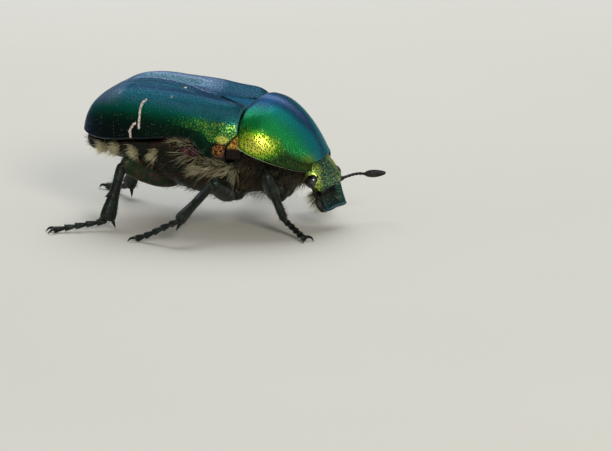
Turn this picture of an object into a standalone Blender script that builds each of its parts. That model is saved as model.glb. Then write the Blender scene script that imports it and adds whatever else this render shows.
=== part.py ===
"""A rose chafer (Cetonia aurata), still and at life size, standing nose down on its six feet.

Lengths are millimetres until add_mesh turns them into metres. The body frame has its origin at the middle of the
scutellum's base, +X forward, +Y to the animal's left and +Z up. The floor frame is level, with its floor at z = 0."""

import math

import bmesh
import bpy
import numpy as np
from mathutils import Matrix, Vector

MM = 0.001

# The whole animal
BODY_PITCH = math.radians(8.6)
BODY_LIFT = 8.0
ORIGIN_SHIFT = (2.7, -0.22)
GAP = 0.22
SUTURE_GAP = 0.16
EYE_GAP = 0.12
SHELL = 0.5
SIDES = {"left": 1, "right": -1}

# The back, which the elytra and the scutellum share: stations are (x, value)
ELYTRA_BASE = -0.2
ELYTRA_APEX = -11.25
REAR_START = -6.3
REAR_ROUNDING = 2.5
BACK_WIDTHS = [(0.5, 4.1), (0.1, 4.25), (-1.2, 4.65), (-3.2, 4.5), (-6.0, 4.5), (-11.0, 4.5)]
SUTURE_HEIGHTS = [
    (0.5, 0.0), (-1.0, 0.0), (-2.5, 0.02), (-3.6, 0.1), (-4.8, 0.24), (-5.6, 0.29), (-6.8, 0.25), (-7.9, 0.1),
    (-8.7, -0.12), (-9.5, -0.5), (-10.2, -1.08), (-10.8, -1.95), (-11.25, -3.3),
]
EDGE_HEIGHTS = [
    (0.5, -2.95), (-0.7, -3.0), (-1.7, -3.1), (-2.3, -2.68), (-2.85, -2.24), (-3.5, -2.15), (-4.6, -2.4),
    (-5.8, -2.72), (-6.9, -2.97), (-9.1, -3.48), (-11.25, -3.62),
]
BACK_SQUARENESS = 3.8
SHOULDER_CUT = 0.9
SHOULDER_FROM = 0.65
SHOULDER_TO = 0.87
FRONT_ROWS_END = -3.2
SHOULDER_BUMP = 0.12
SHOULDER_BUMP_AT = (-1.0, 3.2)
DISC_SWELL = 0.22
DISC_SWELL_Y = 3.2
FRONT_SWELL = 0.32
FRONT_SWELL_Y = 2.9
SUTURE_RIDGE = 0.1
FURROW_DEPTH = 0.22
FURROW_Y = 1.25
RIB_HEIGHT = 0.1
RIB_Y = 2.05
RIDGES_START = -3.6
RIDGES_END = -9.8

SCUTELLUM_LENGTH = 2.35
SCUTELLUM_HALF_BASE = 1.4

# The pronotum: stations along it run from the hind margin (0) to the front margin (1)
PRONOTUM_TOP_X = [(0.0, 0.0), (0.25, 1.35), (0.5, 2.65), (0.75, 3.75), (1.0, 4.6)]
PRONOTUM_TOP_Z = [(0.0, 0.0), (0.7, 0.18), (1.4, 0.14), (2.2, -0.16), (3.0, -0.68), (3.6, -1.22), (4.15, -1.85), (4.6, -2.45)]
PRONOTUM_EDGE = [
    (0.44, 3.9, -2.0), (0.8, 3.98, -2.25), (1.54, 3.92, -2.52), (2.25, 3.62, -2.75), (3.0, 3.15, -2.95),
    (3.7, 2.65, -3.1), (4.3, 2.2, -3.12), (4.65, 1.9, -3.0),
]
PRONOTUM_SQUARENESS = [(0.0, 2.9), (0.4, 2.4), (1.0, 2.1)]
PRONOTUM_SWEEP = [(0.0, 2.2), (0.3, 1.2), (1.0, 1.0)]
PRONOTUM_BEAD = 0.09

# The trunk under the shells: (x, top height, top half-width, ledge height, flank half-width, belly height, roundness)
TRUNK = [
    (4.35, -2.2, 1.0, -3.45, 1.35, -4.3, 1.7), (3.5, -1.35, 1.8, -3.35, 2.2, -4.95, 1.6),
    (2.5, -0.75, 2.5, -3.1, 2.9, -5.45, 1.5), (1.5, -0.5, 2.9, -2.8, 3.3, -5.7, 1.5),
    (0.6, -0.6, 3.0, -2.5, 3.4, -5.9, 1.7), (-0.2, -0.9, 3.3, -3.35, 3.6, -6.25, 1.9),
    (-1.6, -0.85, 3.7, -3.4, 4.15, -6.5, 2.0), (-3.0, -0.8, 3.6, -2.45, 4.25, -6.45, 2.1),
    (-4.6, -0.6, 3.6, -2.7, 4.2, -6.15, 2.2), (-5.6, -0.55, 3.6, -2.98, 4.15, -5.8, 2.2),
    (-7.0, -0.7, 3.45, -3.26, 4.0, -5.45, 2.2), (-8.5, -1.2, 3.0, -3.62, 3.65, -5.15, 2.2),
    (-9.6, -2.05, 2.2, -3.8, 3.0, -4.85, 2.1), (-10.2, -2.9, 1.2, -3.86, 2.3, -4.65, 2.0),
]
PROSTERNUM_SPAN = (4.35, 0.42)
THORAX_SPAN = (0.18, -4.75)
ABDOMEN_SPAN = (-4.97, -9.75)
STERNITE_ENDS = (-5.8, -6.75, -7.7, -8.65)
STERNITE_STEP = 0.1
PYGIDIUM = [
    # x, half-width, top, bottom
    (-9.97, 2.75, -3.9, -4.85), (-10.25, 2.55, -3.91, -4.78), (-10.55, 2.1, -3.93, -4.62), (-10.8, 1.5, -3.96, -4.42),
    (-10.95, 0.8, -4.0, -4.25),
]

# The head, in a frame of its own: l runs from the back of the head down to the front edge, up is square to the face
HEAD_AT = (5.05, 0.0, -2.62)
HEAD_LONG = (0.42, -0.03, -0.905)
HEAD_LEFT = (0.374, 0.915, 0.142)
HEAD = [
    # l, half-width, upper side, under side, bend of the section's upper corners
    (-0.75, 0.9, -0.45, -1.75, 1.0), (-0.3, 1.3, -0.15, -1.95, 1.0), (0.2, 1.47, 0.02, -1.95, 1.0),
    (0.7, 1.52, 0.12, -1.85, 0.92), (1.1, 1.5, 0.15, -1.7, 0.75), (1.42, 1.44, 0.14, -1.5, 0.5),
    (1.75, 1.22, 0.08, -1.2, 0.45), (2.2, 1.1, 0.02, -0.9, 0.42), (2.7, 1.06, 0.0, -0.74, 0.4),
    (3.05, 1.05, 0.02, -0.66, 0.4), (3.3, 1.0, 0.05, -0.58, 0.4), (3.46, 0.86, 0.02, -0.48, 0.45),
]
EYE_AT = (1.25, 1.1, -0.5)
EYE_RADII = (0.5, 0.46, 0.5)

MOUTH = ((2.2, 0.0, -1.0), (0.85, 0.62, 0.42))
PALP = [(2.4, 0.3, -1.05), (2.8, 0.42, -1.05), (3.2, 0.4, -0.98), (3.5, 0.32, -0.9)]
PALP_RADII = (0.22, 0.24, 0.26, 0.12)
STEM_RADIUS = 0.24
STEMS = {
    "left": [(1.82, 0.95, -0.4), (1.76, 1.5, -0.1), (1.75, 1.95, 0.12), (1.8, 2.45, 0.4), (1.97, 2.9, 0.65)],
    "right": [(1.8, -0.9, -0.6), (1.86, -1.35, -0.6), (2.1, -1.52, -0.5), (2.5, -1.54, -0.4)],
}
CLUBS = {
    "left": [(1.95, 2.85, 0.63), (2.07, 3.25, 0.85), (2.17, 3.61, 1.1), (2.26, 3.95, 1.4)],
    "right": [(2.35, -1.54, -0.43), (2.7, -1.52, -0.38), (3.05, -1.46, -0.33), (3.4, -1.36, -0.3)],
}
CLUB_WIDTHS = (0.16, 0.3, 0.32, 0.14)
CLUB_HEIGHTS = (0.2, 0.4, 0.42, 0.2)
CLUB_SHARE = {"left": 1.0, "right": 0.8}

LEGS = {
    # root of the femur in the floor frame, knee, end of the tibia, tip of the claws
    "fore_right": ((1.54, -1.15, 2.1), (1.86, -4.12, 4.1), (2.86, -3.3, 1.02), (5.03, -4.94, 0.0)),
    "mid_right": ((-1.19, -1.7, 2.05), (-1.33, -5.5, 3.69), (-2.8, -8.36, 1.74), (-6.43, -7.46, 0.0)),
    "hind_right": ((-5.1, -1.1, 2.75), (-8.0, -4.1, 4.4), (-8.85, -5.0, 0.6), (-12.4, -7.0, 0.0)),
    "fore_left": ((1.54, 1.15, 2.1), (2.3, 4.15, 4.0), (3.1, 5.1, 1.0), (3.7, 7.5, 0.0)),
    "mid_left": ((-1.19, 1.7, 2.05), (-1.7, 5.5, 3.6), (-2.2, 8.2, 1.1), (-5.9, 9.1, 0.0)),
    "hind_left": ((-5.1, 1.1, 2.7), (-8.6, 3.5, 4.1), (-10.6, 4.7, 0.8), (-13.2, 7.3, 0.0)),
}
COXAE = {
    # centre, from the root of the femur in the body frame and for the left side; radii; tilt about +X
    "fore": ((0.1, -0.35, 0.35), (0.75, 0.62, 0.85), 0.0),
    "mid": ((0.05, -0.25, 0.3), (0.75, 0.8, 0.6), 0.0),
    "hind": ((0.55, 0.7, 0.7), (0.72, 1.6, 0.75), 0.28),
}
KNEE_OVERLAP = 0.15
FEMUR = {
    # fraction of the length, half-width, half-thickness
    "fore": [(0.0, 0.35, 0.32), (0.12, 0.5, 0.42), (0.4, 0.68, 0.5), (0.75, 0.62, 0.45), (0.95, 0.42, 0.36), (1.0, 0.25, 0.22)],
    "mid": [(0.0, 0.32, 0.3), (0.12, 0.5, 0.42), (0.4, 0.66, 0.48), (0.75, 0.58, 0.42), (0.95, 0.42, 0.34), (1.0, 0.25, 0.22)],
    "hind": [(0.0, 0.35, 0.3), (0.12, 0.62, 0.4), (0.4, 0.84, 0.44), (0.75, 0.74, 0.4), (0.95, 0.48, 0.34), (1.0, 0.25, 0.22)],
}
TIBIA = {
    "fore": [(0.0, 0.2, 0.2), (0.06, 0.3, 0.28), (0.3, 0.32, 0.28), (0.65, 0.42, 0.28), (0.9, 0.5, 0.28), (1.0, 0.34, 0.22)],
    "mid": [(0.0, 0.2, 0.2), (0.06, 0.3, 0.28), (0.35, 0.3, 0.28), (0.6, 0.36, 0.28), (0.92, 0.5, 0.36), (1.0, 0.4, 0.3)],
    "hind": [(0.0, 0.2, 0.2), (0.06, 0.32, 0.28), (0.35, 0.34, 0.28), (0.6, 0.42, 0.3), (0.92, 0.58, 0.36), (1.0, 0.44, 0.3)],
}
# teeth: share of the tibia's length and millimetres outwards, at the root and at the tip; radius
FORE_TEETH = [(0.44, 0.1, 0.57, 0.6, 0.17), (0.68, 0.1, 0.81, 0.67, 0.2), (0.9, 0.1, 1.03, 0.73, 0.22)]
OTHER_TEETH = [(0.5, 0.08, 0.62, 0.62, 0.2), (0.93, 0.3, 1.08, 0.78, 0.15), (0.93, -0.3, 1.08, -0.78, 0.15)]
SPINE_TAPER = (1.0, 0.75, 0.22)
TARSUS_SEGMENTS = 5
ROWS_A_SEGMENT = 3
SEGMENT_RADII = (0.2, 0.29)
# share of the tarsus's length, share of the ankle's height, millimetres
TARSUS_DROP = [(0.0, 1.0, 0.0), (0.35, 0.62, 0.1), (0.7, 0.22, 0.2), (1.0, 0.0, 0.2)]
SOLE_SHARE = 0.8
# claws: share of their length, sideways, height, radius
CLAW_LENGTH = 0.62
CLAW_ROOT = 0.2
CLAW = [(0.0, 0.06, 0.2, 0.15), (0.35, 0.25, 0.3, 0.15), (0.7, 0.375, 0.24, 0.12), (1.0, 0.4, 0.04, 0.05)]

# A block under the floor trims the feet flat
BLOCK = (60, 60, 10)

LOOKS = {
    # colour, metallic, roughness
    "shell": ((0.02, 0.12, 0.09), 0.9, 0.28),
    "underside": ((0.035, 0.04, 0.02), 0.4, 0.45),
    "leg": ((0.012, 0.03, 0.022), 0.5, 0.35),
    "eye": ((0.01, 0.006, 0.004), 0.0, 0.15),
    "feeler": ((0.02, 0.016, 0.012), 0.0, 0.4),
}


def follow(stations, at):
    """Smooth curve through (position, value) stations: cubic pieces, level wherever the values turn."""
    where, value = np.array(sorted(stations), float).T
    at = np.clip(np.asarray(at, float), where[0], where[-1])
    chord = np.diff(value) / np.diff(where)
    slope = np.concatenate([chord[:1], (chord[1:] + chord[:-1]) / 2, chord[-1:]])
    slope[1:-1][chord[1:] * chord[:-1] <= 0] = 0
    i = np.clip(np.searchsorted(where, at, side="right") - 1, 0, len(where) - 2)
    span = where[i + 1] - where[i]
    t = (at - where[i]) / span
    ease = t * t * (3 - 2 * t)
    bend = slope[i] * t * (1 - t) ** 2 - slope[i + 1] * t * t * (1 - t)
    return value[i] * (1 - ease) + value[i + 1] * ease + span * bend


def clear_scene():
    for obj in list(bpy.data.objects):
        bpy.data.objects.remove(obj)


def make_materials():
    for name, (colour, metallic, roughness) in LOOKS.items():
        material = bpy.data.materials.new(name)
        material.use_nodes = True
        shader = material.node_tree.nodes["Principled BSDF"]
        shader.inputs["Base Color"].default_value = (*colour, 1.0)
        shader.inputs["Metallic"].default_value = metallic
        shader.inputs["Roughness"].default_value = roughness


def make_frames():
    """Two empties: the level floor frame, and in it the body frame, lifted and pitched nose down."""
    floor = bpy.data.objects.new("floor_frame", None)
    body = bpy.data.objects.new("body_frame", None)
    for empty in (floor, body):
        PARTS.objects.link(empty)
    floor.location = (ORIGIN_SHIFT[0] * MM, ORIGIN_SHIFT[1] * MM, 0)
    body.parent = floor
    body.location = (0, 0, BODY_LIFT * MM)
    body.rotation_euler = (0, BODY_PITCH, 0)
    bpy.context.view_layer.update()
    return floor, body


def to_body(point):
    """A point of the floor frame, in the body frame."""
    turn = Matrix.Rotation(-BODY_PITCH, 3, "Y")
    return np.array(turn @ (Vector(point) - Vector((0, 0, BODY_LIFT))))


def add_mesh(name, points, faces, frame, look, open_surface=False):
    mesh = bpy.data.meshes.new(name)
    mesh.from_pydata((np.asarray(points) * MM).tolist(), [], faces)
    obj = bpy.data.objects.new(name, mesh)
    obj.parent = frame
    PARTS.objects.link(obj)
    mesh.materials.append(bpy.data.materials[look])
    work = bmesh.new()
    work.from_mesh(mesh)
    bmesh.ops.remove_doubles(work, verts=work.verts, dist=0.002 * MM)
    if not open_surface:
        bmesh.ops.recalc_face_normals(work, faces=work.faces)
    work.to_mesh(mesh)
    work.free()
    mesh.shade_smooth()
    bpy.context.view_layer.update()
    return obj


def apply_modifiers(obj):
    graph = bpy.context.evaluated_depsgraph_get()
    made = bpy.data.meshes.new_from_object(obj.evaluated_get(graph))
    obj.modifiers.clear()
    obj.data = made


def tidy(obj):
    """Merges points that lie together, splits faces into triangles and keeps the largest closed surface."""
    work = bmesh.new()
    work.from_mesh(obj.data)
    bmesh.ops.remove_doubles(work, verts=work.verts, dist=0.004 * MM)
    bmesh.ops.dissolve_degenerate(work, edges=work.edges, dist=0.004 * MM)
    bmesh.ops.triangulate(work, faces=work.faces)
    left, surfaces = set(work.faces), []
    while left:
        surface, border = [], [left.pop()]
        while border:
            face = border.pop()
            surface.append(face)
            near = {other for edge in face.edges if len(edge.link_faces) == 2 for other in edge.link_faces} & left
            left -= near
            border.extend(near)
        surfaces.append(surface)
    surfaces.sort(key=lambda surface: sum(face.calc_area() for face in surface))
    for surface in surfaces[:-1]:
        bmesh.ops.delete(work, geom=surface, context="FACES")
    bmesh.ops.holes_fill(work, edges=[edge for edge in work.edges if edge.is_boundary], sides=8)
    bmesh.ops.triangulate(work, faces=work.faces)
    work.to_mesh(obj.data)
    work.free()
    obj.data.shade_smooth()


def grid_faces(rows, columns, closed):
    """Quads between the rows of a grid of points, round to the first column again where it is closed."""
    last = columns if closed else columns - 1
    return [
        (r * columns + c, r * columns + (c + 1) % columns, (r + 1) * columns + (c + 1) % columns, (r + 1) * columns + c)
        for r in range(rows - 1) for c in range(last)
    ]


def plate(name, grid, frame, look, thickness=SHELL):
    """A shell: an open grid of points that runs front to back, thickened inwards if its columns run left to right and
    outwards if they run right to left."""
    rows, columns = grid.shape[:2]
    faces = [face[::-1] for face in grid_faces(rows, columns, False)]
    obj = add_mesh(name, grid.reshape(-1, 3), faces, frame, look, open_surface=True)
    wall = obj.modifiers.new("wall", "SOLIDIFY")
    wall.thickness = thickness * MM
    wall.offset = -1
    apply_modifiers(obj)
    tidy(obj)
    return obj


def loft(name, rings, frame, look):
    """A closed solid through rings of points, with a fan over each end."""
    rings = np.asarray(rings, float)
    count, columns = rings.shape[:2]
    points = np.vstack([rings.reshape(-1, 3), rings[0].mean(0), rings[-1].mean(0)])
    faces = grid_faces(count, columns, True)
    for row, centre in ((0, count * columns), (count - 1, count * columns + 1)):
        faces += [(row * columns + c, row * columns + (c + 1) % columns, centre) for c in range(columns)]
    return add_mesh(name, points, faces, frame, look)


def unit(vector):
    vector = np.asarray(vector, float)
    return vector / np.linalg.norm(vector, axis=-1, keepdims=True)


def tube(name, path, widths, heights, across, frame, look, sides=10, squareness=2.0):
    """A solid round a path: at each point an oval, whose width lies along `across`."""
    path = np.asarray(path, float)
    along = unit(np.gradient(path, axis=0))
    across = np.asarray(across, float) - along * (along @ np.asarray(across, float))[:, None]
    across = unit(across)
    upright = np.cross(along, across)
    turn = 2 * np.pi * (np.arange(sides) + 0.5) / sides
    wide = np.sign(np.cos(turn)) * np.abs(np.cos(turn)) ** (2 / squareness)
    high = np.sign(np.sin(turn)) * np.abs(np.sin(turn)) ** (2 / squareness)
    rings = (
        path[:, None]
        + across[:, None] * (np.asarray(widths)[:, None] * wide)[..., None]
        + upright[:, None] * (np.asarray(heights)[:, None] * high)[..., None]
    )
    return loft(name, rings, frame, look)


def limb(name, start, end, profile, across, look, bow=(0, 0, 0), rows=8, sides=10):
    """One segment of a leg, from (fraction, half-width, half-thickness) stations, bowed sideways."""
    start, end, bow = (np.asarray(v, float) for v in (start, end, bow))
    ends = [station[0] for station in profile]
    f = np.unique(np.concatenate([np.linspace(0, 1, rows), ends]))
    path = start + (end - start) * f[:, None] + bow * np.sin(np.pi * f)[:, None]
    widths = follow([s[:2] for s in profile], f)
    heights = follow([(s[0], s[2]) for s in profile], f)
    return tube(name, path, widths, heights, across, FLOOR, look, sides)


def ball(name, centre, radii, axes, frame, look, around=12, rows=8):
    """An ellipsoid with its radii along the rows of `axes`."""
    tilt = np.linspace(0, np.pi, rows + 1)[1:-1]
    turn = 2 * np.pi * np.arange(around) / around
    radii, axes = np.asarray(radii, float), np.asarray(axes, float)
    local = np.stack(np.broadcast_arrays(
        -np.cos(tilt)[:, None], np.sin(tilt)[:, None] * np.cos(turn), np.sin(tilt)[:, None] * np.sin(turn)), -1)
    poles = np.array([[-1.0, 0, 0], [1.0, 0, 0]])
    place = lambda unit_points: np.asarray(centre, float) + (unit_points * radii) @ axes
    rings = place(local)
    points = np.vstack([rings.reshape(-1, 3), place(poles)])
    faces = grid_faces(len(tilt), around, True)
    for row, pole in ((0, len(points) - 2), (len(tilt) - 1, len(points) - 1)):
        faces += [(row * around + c, row * around + (c + 1) % around, pole) for c in range(around)]
    return add_mesh(name, points, faces, frame, look)


def spine(root, tip, radius, frame, look, name="spine"):
    """A short tapered point."""
    root, tip = np.asarray(root, float), np.asarray(tip, float)
    f = np.array([0.0, 0.5, 1.0])
    widths = radius * np.array(SPINE_TAPER)
    across = np.cross(tip - root, (0.3, 0.5, 0.8))
    return tube(name, root + (tip - root) * f[:, None], widths, widths, across, frame, look, sides=6)


def join(body, pieces):
    """Fuses closed pieces into the body with one union and removes them."""
    group = bpy.data.collections.new(body.name + "_pieces")
    for piece in pieces:
        group.objects.link(piece)
    union = body.modifiers.new("join", "BOOLEAN")
    union.operation = "UNION"
    union.operand_type = "COLLECTION"
    union.collection = group
    bpy.context.view_layer.update()
    apply_modifiers(body)
    for piece in pieces:
        bpy.data.objects.remove(piece)
    bpy.data.collections.remove(group)
    tidy(body)
    return body


def swollen(obj, gap):
    """A copy of an object whose skin lies the gap further out, as a cutter."""
    cutter = bpy.data.objects.new(obj.name + "_room", obj.data.copy())
    cutter.parent = obj.parent
    CUTTERS.objects.link(cutter)
    cutter.hide_render = True
    cutter.display_type = "WIRE"
    work = bmesh.new()
    work.from_mesh(cutter.data)
    work.normal_update()
    moves = [vert.normal * gap * MM * min(vert.calc_shell_factor(), 1.6) for vert in work.verts]
    for vert, move in zip(work.verts, moves):
        vert.co += move
    work.to_mesh(cutter.data)
    work.free()
    return cutter


def cut(obj, cutter, solver="EXACT"):
    """Takes the cutter out of the object and removes it."""
    room = obj.modifiers.new("room", "BOOLEAN")
    room.operation = "DIFFERENCE"
    room.solver = solver
    room.object = cutter
    bpy.context.view_layer.update()
    apply_modifiers(obj)
    bpy.data.objects.remove(cutter)
    tidy(obj)


def cut_clear(obj, neighbours, gap=GAP, solver="EXACT"):
    for neighbour in neighbours:
        cut(obj, swollen(neighbour, gap), solver)


def back_half_width(x):
    reach = np.clip((REAR_START - x) / (REAR_START - ELYTRA_APEX), 0, 1)
    return follow(BACK_WIDTHS, x) * (1 - reach**REAR_ROUNDING) ** (1 / REAR_ROUNDING)


def even_angles():
    """Angles round the back's cross-section and the share of its outline reached at each."""
    angle = np.linspace(0, np.pi / 2, 400)
    y = 4.5 * np.sin(angle) ** (2 / BACK_SQUARENESS)
    z = 2.8 * np.cos(angle) ** (2 / BACK_SQUARENESS)
    run = np.concatenate([[0], np.cumsum(np.hypot(np.diff(y), np.diff(z)))])
    return angle, run / run[-1]


def back_relief(x, y):
    """Height of the shoulder, the swell of the disc, the raised suture, the furrow beside it and the rib, for y > 0."""
    fade = np.clip((RIDGES_START - x) / 1.2, 0, 1) * np.clip((x - RIDGES_END) / 1.5, 0, 1)
    shoulder = SHOULDER_BUMP * np.exp(-(((x - SHOULDER_BUMP_AT[0]) / 2.0) ** 2) - ((y - SHOULDER_BUMP_AT[1]) / 0.9) ** 2)
    ridge = SUTURE_RIDGE * np.exp(-((y / 0.5) ** 4))
    furrow = FURROW_DEPTH * np.exp(-(((y - FURROW_Y) / 0.45) ** 2))
    rib = RIB_HEIGHT * np.exp(-(((y - RIB_Y) / 0.35) ** 2))
    swell = DISC_SWELL * np.exp(-(((y - DISC_SWELL_Y) / 1.2) ** 2)) * np.clip((x - RIDGES_END) / 2.0, 0, 1)
    ahead = np.clip((x + 6.0) / 3.0, 0, 1)
    front = FRONT_SWELL * ahead**2 * (3 - 2 * ahead) * np.exp(-(((y - FRONT_SWELL_Y) / 1.3) ** 2))
    return shoulder + swell + front + fade * (ridge - furrow + rib)


def back_point(x, share, inner=0.0):
    """A point of the back: x along it, and the share of the way from the inner edge (y = inner) to the margin."""
    angle, run = even_angles()
    width = np.maximum(back_half_width(x), 0.02)
    start = np.arcsin(np.clip(inner / width, 0, 1) ** (BACK_SQUARENESS / 2))
    from_share = np.interp(start, angle, run)
    turn = np.interp(from_share + (1 - from_share) * share, run, angle)
    edge = follow(EDGE_HEIGHTS, x)
    rise = follow(SUTURE_HEIGHTS, x) - edge
    y = width * np.sin(turn) ** (2 / BACK_SQUARENESS)
    z = edge + rise * np.cos(turn) ** (2 / BACK_SQUARENESS)
    z = z + back_relief(x, y) * np.cos(turn) ** 0.5
    return np.stack([x + 0 * y, y, z], -1)


def hind_margin(z):
    """Where the pronotum's hind margin lies, at a height of its flank."""
    edge_x, _, edge_z = PRONOTUM_EDGE[0]
    return edge_x * np.clip(z / edge_z, 0, 1) ** PRONOTUM_SWEEP[0][1]


def shoulder_front(share):
    """Where the elytron's front edge lies: along the pronotum's hind margin, then back from it round the shoulder."""
    down = np.clip((share - SHOULDER_FROM) / (SHOULDER_TO - SHOULDER_FROM), 0, 1)
    height = back_point(ELYTRA_BASE, share)[..., 2]
    return ELYTRA_BASE + hind_margin(height) - SHOULDER_CUT * down * down * (3 - 2 * down)


def mirror_to(points, side):
    points = points * np.array([1.0, SIDES[side], 1.0])
    return points if side == "left" else points[:, ::-1]


def make_elytron(side):
    share = np.linspace(0, 1, 16)
    front = np.linspace(0, 1, 7)
    swing = np.radians(np.array([0, 14, 28, 42, 55, 66, 75, 82]))
    rows = []
    for f in front[:-1]:
        x = shoulder_front(share) * (1 - f) + FRONT_ROWS_END * f
        rows.append(x)
    rows += [np.full_like(share, x) for x in (-3.2, -3.9, -4.6, -5.3)]
    rows += [np.full_like(share, REAR_START - (REAR_START - ELYTRA_APEX) * s) for s in np.sin(swing)]
    x = np.array(rows)
    notch = SCUTELLUM_HALF_BASE * np.clip(1 - (ELYTRA_BASE - x) / SCUTELLUM_LENGTH, 0, 1) ** 0.9
    inner = np.where(notch > 0, notch + GAP, SUTURE_GAP / 2)
    grid = back_point(x, share, inner)
    tip = np.array([ELYTRA_APEX, SUTURE_GAP / 2, EDGE_HEIGHTS[-1][1] + 0.12])
    grid = np.concatenate([grid, np.broadcast_to(tip, (1, len(share), 3))])
    return plate("elytron_" + side, mirror_to(grid, side)[:, ::-1], BODY, "shell")


def make_scutellum():
    x = np.linspace(ELYTRA_BASE, ELYTRA_BASE - SCUTELLUM_LENGTH + 0.12, 8)
    half = SCUTELLUM_HALF_BASE * np.clip(1 - (ELYTRA_BASE - x) / SCUTELLUM_LENGTH, 0, 1) ** 0.9
    across = np.linspace(1, -1, 7)
    y = half[:, None] * across
    z = follow(SUTURE_HEIGHTS, x)[:, None] + 0 * y
    grid = np.stack([x[:, None] + 0 * y, y, z], -1)
    return plate("scutellum", grid, BODY, "shell")


def pronotum_grid(rows=14, half_columns=12):
    s = np.linspace(0, 1, rows)[:, None]
    angle, run = even_angles()
    half = np.append(np.linspace(0, 0.955, half_columns), [0.98, 1.0])
    t = np.concatenate([half[::-1], -half[1:]])[None, :]
    top_x = follow(PRONOTUM_TOP_X, s)
    top_z = follow(PRONOTUM_TOP_Z, top_x)
    edge_x = PRONOTUM_EDGE[0][0] + (PRONOTUM_EDGE[-1][0] - PRONOTUM_EDGE[0][0]) * s
    edge_y = follow([p[:2] for p in PRONOTUM_EDGE], edge_x)
    edge_z = follow([(p[0], p[2]) for p in PRONOTUM_EDGE], edge_x)
    power = 2 / follow(PRONOTUM_SQUARENESS, s)
    turn = np.interp(np.abs(t), run, angle)
    down = 1 - np.cos(turn) ** power
    y = np.sign(t) * edge_y * np.sin(turn) ** power
    x = top_x + (edge_x - top_x) * down ** follow(PRONOTUM_SWEEP, s)
    z = top_z + (edge_z - top_z) * down
    bead = PRONOTUM_BEAD * np.exp(-(((1 - np.abs(t)) / 0.022) ** 2))
    return np.stack([x, y + np.sign(t) * bead, z], -1)


def make_pronotum():
    return plate("pronotum", pronotum_grid(), BODY, "shell")


def make_mesepimeron(side):
    """The wedge between the pronotum's hind angle and the elytron's shoulder."""
    share = np.linspace(0.74, 1.0, 6)[:, None]
    behind = shoulder_front(share) + GAP
    ahead = 0.5 * np.ones_like(share)
    f = np.linspace(0, 1, 4)[None, :]
    x = ahead + (behind - ahead) * f
    grid = back_point(x, share + 0 * x)
    grid[..., 1] -= 0.12
    grid = grid.transpose(1, 0, 2)
    grid = mirror_to(grid, side)[:, ::-1]
    return plate("mesepimeron_" + side, grid, BODY, "shell", 0.6)


def trunk_rings(xs, belly_step=0.0):
    """Closed sections of the trunk: an arch inside the shells, a ledge under their edge, and the belly below."""
    at = np.asarray(xs, float)
    top, top_half, ledge, flank, belly, roundness = (follow([(row[0], row[i]) for row in TRUNK], at) for i in range(1, 7))
    arch = np.radians(np.linspace(0, 90, 6))[None, :]
    arch_y = top_half[:, None] * np.sin(arch) ** 0.75
    arch_z = ledge[:, None] + (top - ledge)[:, None] * np.cos(arch) ** 0.75
    bowl = np.radians(np.linspace(0, 90, 9))[None, :]
    power = 2 / roundness[:, None]
    step = np.broadcast_to(np.asarray(belly_step, float), at.shape)[:, None]
    bowl_y = (flank[:, None] - step) * np.cos(bowl) ** power
    bowl_z = ledge[:, None] - (ledge - belly - step[:, 0])[:, None] * np.sin(bowl) ** power
    y = np.concatenate([arch_y, bowl_y], 1)
    z = np.concatenate([arch_z, bowl_z], 1)
    x = np.broadcast_to(at[:, None], y.shape)
    half = np.stack([x, y, z], -1)
    other = half[:, -2:0:-1] * np.array([1.0, -1.0, 1.0])
    return np.concatenate([half, other], 1)


def make_prosternum():
    return loft("prosternum", trunk_rings(np.linspace(*PROSTERNUM_SPAN, 7)), BODY, "underside")


def make_thorax():
    return loft("thorax", trunk_rings(np.linspace(*THORAX_SPAN, 10)), BODY, "underside")


def make_abdomen():
    """Its belly steps in a little behind each sternite's hind edge."""
    xs, steps = [ABDOMEN_SPAN[0]], [0.0]
    for end in STERNITE_ENDS:
        xs += [end + 0.04, end - 0.04]
        steps += [0.0, STERNITE_STEP]
    xs.append(ABDOMEN_SPAN[1])
    steps.append(0.0)
    return loft("abdomen", trunk_rings(xs, steps), BODY, "underside")


def make_pygidium():
    turn = 2 * np.pi * np.arange(20) / 20
    rings = []
    for x, half, top, bottom in PYGIDIUM:
        y = half * np.sign(np.cos(turn)) * np.abs(np.cos(turn)) ** 0.8
        z = (top + bottom) / 2 + (top - bottom) / 2 * np.sign(np.sin(turn)) * np.abs(np.sin(turn)) ** 0.8
        rings.append(np.stack([np.full_like(y, x), y, z], -1))
    return loft("pygidium", rings, BODY, "shell")


def head_axes():
    """Rows: along the head, to its left, and square to the face."""
    along = unit(HEAD_LONG)
    left = unit(np.array(HEAD_LEFT) - along * np.dot(along, HEAD_LEFT))
    return np.array([along, left, np.cross(along, left)])


def head_point(l, side, up):
    return np.array(HEAD_AT) + np.array([l, side, up]) @ head_axes()


def make_head():
    turn = 2 * np.pi * np.arange(24) / 24
    rings = []
    for l, half, upper, under, bend in HEAD:
        power = np.where(np.sin(turn) > 0, bend, 1.0)
        side = half * np.sign(np.cos(turn)) * np.abs(np.cos(turn)) ** power
        up = (upper + under) / 2 + (upper - under) / 2 * np.sign(np.sin(turn)) * np.abs(np.sin(turn)) ** power
        rings.append(np.array([head_point(l, s, u) for s, u in zip(side, up)]))
    return loft("head", rings, BODY, "shell")


def make_eye(side):
    l, out, up = EYE_AT
    return ball("eye_" + side, head_point(l, out * SIDES[side], up), EYE_RADII, head_axes(), BODY, "eye")


def make_mouthparts():
    centre, radii = MOUTH
    body = ball("mouthparts", head_point(*centre), radii, head_axes(), BODY, "feeler", 12, 7)
    palps = []
    for sign in SIDES.values():
        path = [head_point(l, side * sign, up) for l, side, up in PALP]
        palps.append(tube("palp", path, PALP_RADII, PALP_RADII, head_axes()[1], BODY, "feeler", 8))
    return join(body, palps)


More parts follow.
